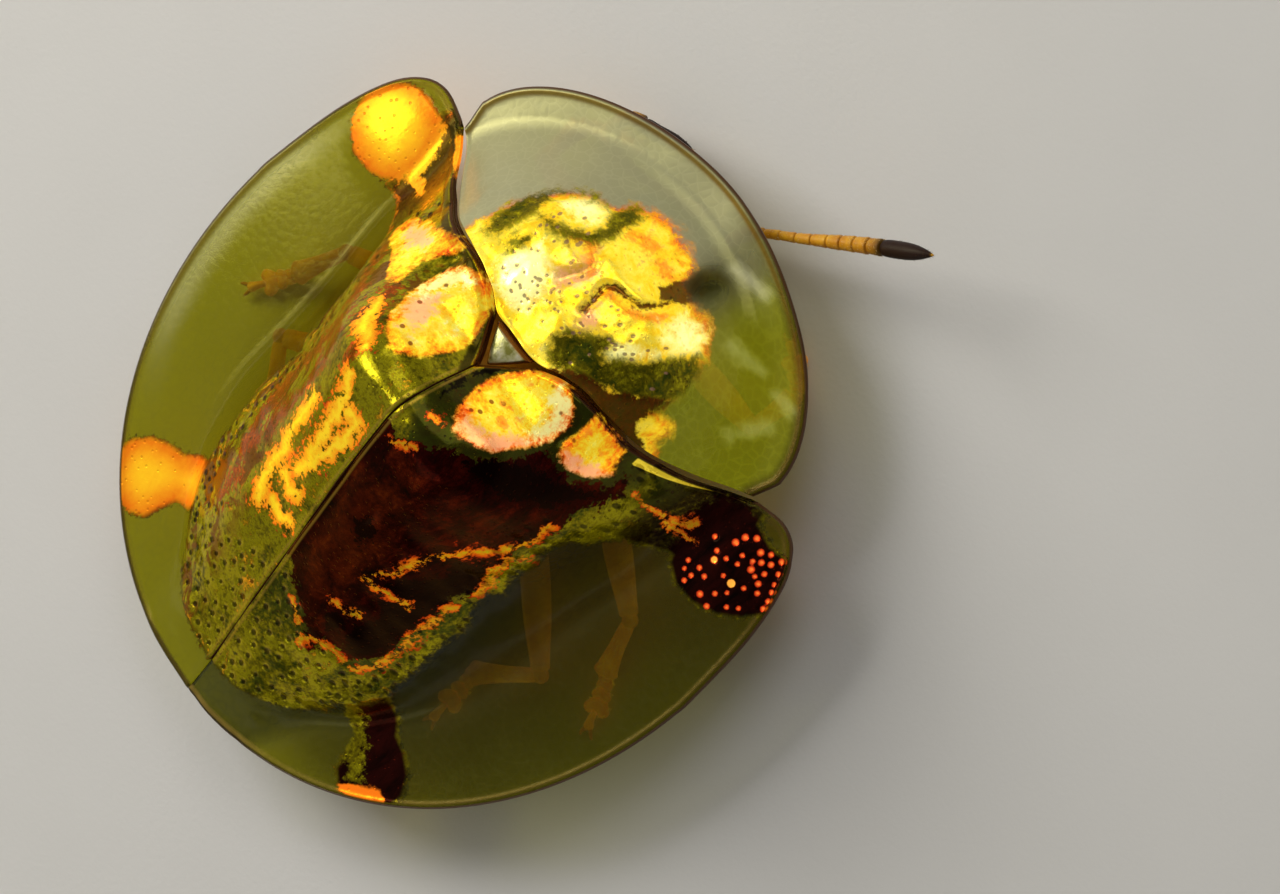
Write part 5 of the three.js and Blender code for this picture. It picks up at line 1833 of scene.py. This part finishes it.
def build_feeler(name, node, stations, seed):
    clay = Clay()
    rng = np.random.default_rng(seed)
    path = soft_path(stations, 900)
    travelled = np.concatenate([[0], np.cumsum(np.linalg.norm(np.diff(path, axis=0), axis=1))])
    travelled /= travelled[-1]
    total = sum(length for length, width in JOINTS)
    begin = 0.0
    t = np.linspace(0, 1, 26)
    for number, (length, width) in enumerate(JOINTS):
        end = begin + length / total
        places = np.stack([np.interp(begin + (end - begin) * t, travelled, path[:, k]) for k in range(3)], 1)
        profile, tone = joint_form(number, t)
        clay.tube(places, profile * width, 22, tone)
        count = 26 if number < CLUB_START else 60
        spot = rng.integers(2, 25, count)
        angle = rng.uniform(0, ROUND, count)
        way = unit(places[-1] - places[0])
        side, over = along_axes(way)
        out = side * np.cos(angle)[:, None] + over * np.sin(angle)[:, None]
        roots = places[spot] + out * (profile * width)[spot][:, None] * 0.95
        hair_tone = 0.9 if number == len(JOINTS) - 1 else HAIR_TONE
        clay.hairs(roots, out * 0.6 + way, 0.055, 0.005, hair_tone)
        begin = end
    clay.piece(name, feeler_material, node, "antennae")


build_feeler("feeler_right", "antenna_right", RIGHT_FEELER, 51)
build_feeler("feeler_left", "antenna_left", LEFT_FEELER, 52)

# %% [markdown]
# Head and mouth
#
# The head hangs under the pronotum's brim and faces down and forward. Between the
# eyes two grooves run from the feelers' sockets over the forehead. Below the
# sockets sits a small lip, behind it two notched jaws and the jointed palps.

# %% The head
HEAD_CENTRE = np.array([0.0, -4.85, 1.35])
HEAD_RADII = np.array([0.78, 0.62, 0.62])
HEAD_HAIRS = 120


def head_shape(points):
    x, y, z = points.T
    front = step(0.0, 0.6, -y)
    moved = points.copy()
    groove = bell(np.abs(x) - 0.14 - 0.42 * np.clip(z + 0.25, 0, 1), 0.05) * step(-0.45, -0.1, z)
    middle = bell(x, 0.03) * step(-0.1, 0.3, z)
    socket = bell(np.hypot(np.abs(x) - 0.3, z + 0.45), 0.16)
    ring = bell(np.hypot(np.abs(x) - 0.3, z + 0.45) - 0.24, 0.06)
    face = bell(np.hypot(x / 0.35, (z + 0.75) / 0.2), 1.0)
    lift = front * (-0.06 * groove - 0.05 * middle - 0.10 * socket + 0.05 * ring + 0.05 * face)
    lift += noise(x * 3 + 5, z * 3 + y) * 0.03
    return moved * (1 + lift)[:, None]


def build_head():
    clay = Clay()
    clay.ball(HEAD_CENTRE, HEAD_RADII, 90, 120, shape=head_shape)
    rng = np.random.default_rng(61)
    angle = rng.uniform(-1.0, 1.0, HEAD_HAIRS)
    rise = rng.uniform(-0.8, 0.7, HEAD_HAIRS)
    way = np.stack([np.sin(angle) * np.cos(rise), -np.cos(angle) * np.cos(rise), np.sin(rise)], 1)
    roots = HEAD_CENTRE + way * HEAD_RADII * 0.99
    clay.hairs(roots, way + [0, -0.2, -0.5], rng.uniform(0.05, 0.1, HEAD_HAIRS))
    for sign in (-1, 1):
        clay.ball((sign * 0.3, -5.42, 1.02), (0.16, 0.1, 0.16), 18, 24, 0.5)
    clay.piece("head_capsule", head_material, "head", "head")


def eye_shape(points):
    """Rows of tiny lenses in a honeycomb on the eye's outer half."""
    x, y, z = points.T
    size = 15.0
    a = np.cos(size * 2 * y) + np.cos(size * (-y + 1.732 * z)) + np.cos(size * (-y - 1.732 * z))
    notch = 0.16 * bell(np.hypot((y + 0.75) / 0.3, (z + 0.15) / 0.25), 1.0)
    return points * (1 + 0.008 * a * step(0.0, 0.4, np.abs(x)) - notch)[:, None]


def eye_finish():
    sheet = Sheet("eye_black")
    cloud = sheet.noise(4.0, 2.0)
    colour = sheet.blend(cloud, (0.008, 0.006, 0.006), (0.03, 0.018, 0.012))
    lenses = sheet.cells(30.0)
    shader = sheet.surface(Base_Color=colour, Roughness=0.16, Coat_Weight=0.8, Coat_Roughness=0.05,
                           Normal=sheet.bump(lenses, 0.01, 0.4))
    return sheet.finish(shader)


build_head()
eye_material = eye_finish()
for name, sign in (("left", 1), ("right", -1)):
    clay = Clay()
    clay.ball((sign * 0.98, -5.05, 1.45), (0.24, 0.36, 0.42), 150, 190, shape=eye_shape)
    clay.piece("eye_" + name + "_lenses", eye_material, "eye_" + name, "eyes")


# %% The mouth
# Joints of the outer and the inner palps: direction, length and half width.
OUTER_PALP = (((0.5, -0.5, -0.5), 0.1, 0.035), ((0.4, -0.9, -0.3), 0.12, 0.045),
              ((0.1, -1, -0.2), 0.12, 0.05), ((-0.2, -1, -0.1), 0.15, 0.04))
INNER_PALP = (((0.2, -0.8, -0.4), 0.08, 0.03), ((0.1, -1, -0.2), 0.1, 0.035))
OUTER_FORM = along([(0, 0.5), (0.5, 0.9), (0.9, 1.0), (1, 0.3)], np.linspace(0, 1, 10))
INNER_FORM = np.array([0.5, 0.8, 1, 1, 1, 0.9, 0.7, 0.3])
LIP_HAIRS = 24


def lip_shape(points):
    moved = points.copy()
    moved[:, 0] *= 1 - 0.25 * step(0.0, 1.0, -points[:, 1])
    moved[:, 1] += 0.25 * bell(points[:, 0], 0.25) * (points[:, 1] < -0.3)
    return moved


def palp(clay, begin, sign, joints, form, sides):
    """A chain of small clubs, mirrored by sign."""
    begin = np.array(begin)
    for way, length, width in joints:
        end = begin + unit(np.array(way) * [sign, 1, 1]) * length
        clay.tube(bowed(begin, end, 0, len(form)), form * width, sides)
        begin = end


def build_mouth():
    clay = Clay()
    clay.ball((0, -5.2, 0.66), (0.26, 0.16, 0.08), 24, 36, 0.0, lip_shape)
    clay.ball((0, -4.95, 0.5), (0.24, 0.2, 0.14), 20, 28, 0.2)
    t = np.linspace(0, 1, 18)
    for sign in (-1, 1):
        jaw = soft_path([(sign * 0.3, -4.95, 0.52), (sign * 0.29, -5.12, 0.5), (sign * 0.17, -5.26, 0.48),
                         (sign * 0.02, -5.28, 0.47)], 18)
        width = along([(0, 0.1), (0.4, 0.09), (0.8, 0.055), (1, 0.01)], t)
        clay.tube(jaw, np.stack([width, width * 0.8], 1), 16, along([(0, 0.2), (0.5, 0.6), (1, 1.0)], t))
        for tooth in (0.08, 0.14):
            clay.tube(soft_path([(sign * (0.02 + tooth), -5.22, 0.47), (sign * tooth * 0.4, -5.31, 0.46)], 6),
                      [0.03, 0.028, 0.024, 0.018, 0.012, 0.004], 10, 0.95)
        palp(clay, (sign * 0.27, -4.85, 0.45), sign, OUTER_PALP, OUTER_FORM, 12)
        palp(clay, (sign * 0.1, -4.85, 0.4), sign, INNER_PALP, INNER_FORM, 10)
    x = np.random.default_rng(71).uniform(-0.2, 0.2, LIP_HAIRS)
    level = np.ones(LIP_HAIRS)
    clay.hairs(np.stack([x, -5.3 * level, 0.64 * level], 1), np.stack([x, -level, -0.6 * level], 1), 0.09)
    clay.piece("mouth_lip_and_jaws", head_material, "mouthparts", "head")


build_mouth()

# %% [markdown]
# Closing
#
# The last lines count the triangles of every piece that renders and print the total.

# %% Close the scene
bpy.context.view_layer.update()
triangles = sum(len(face.vertices) - 2 for thing in bpy.data.objects
                if thing.type == "MESH" and not thing.hide_render for face in thing.data.polygons)
print("triangles in the whole model:", triangles)
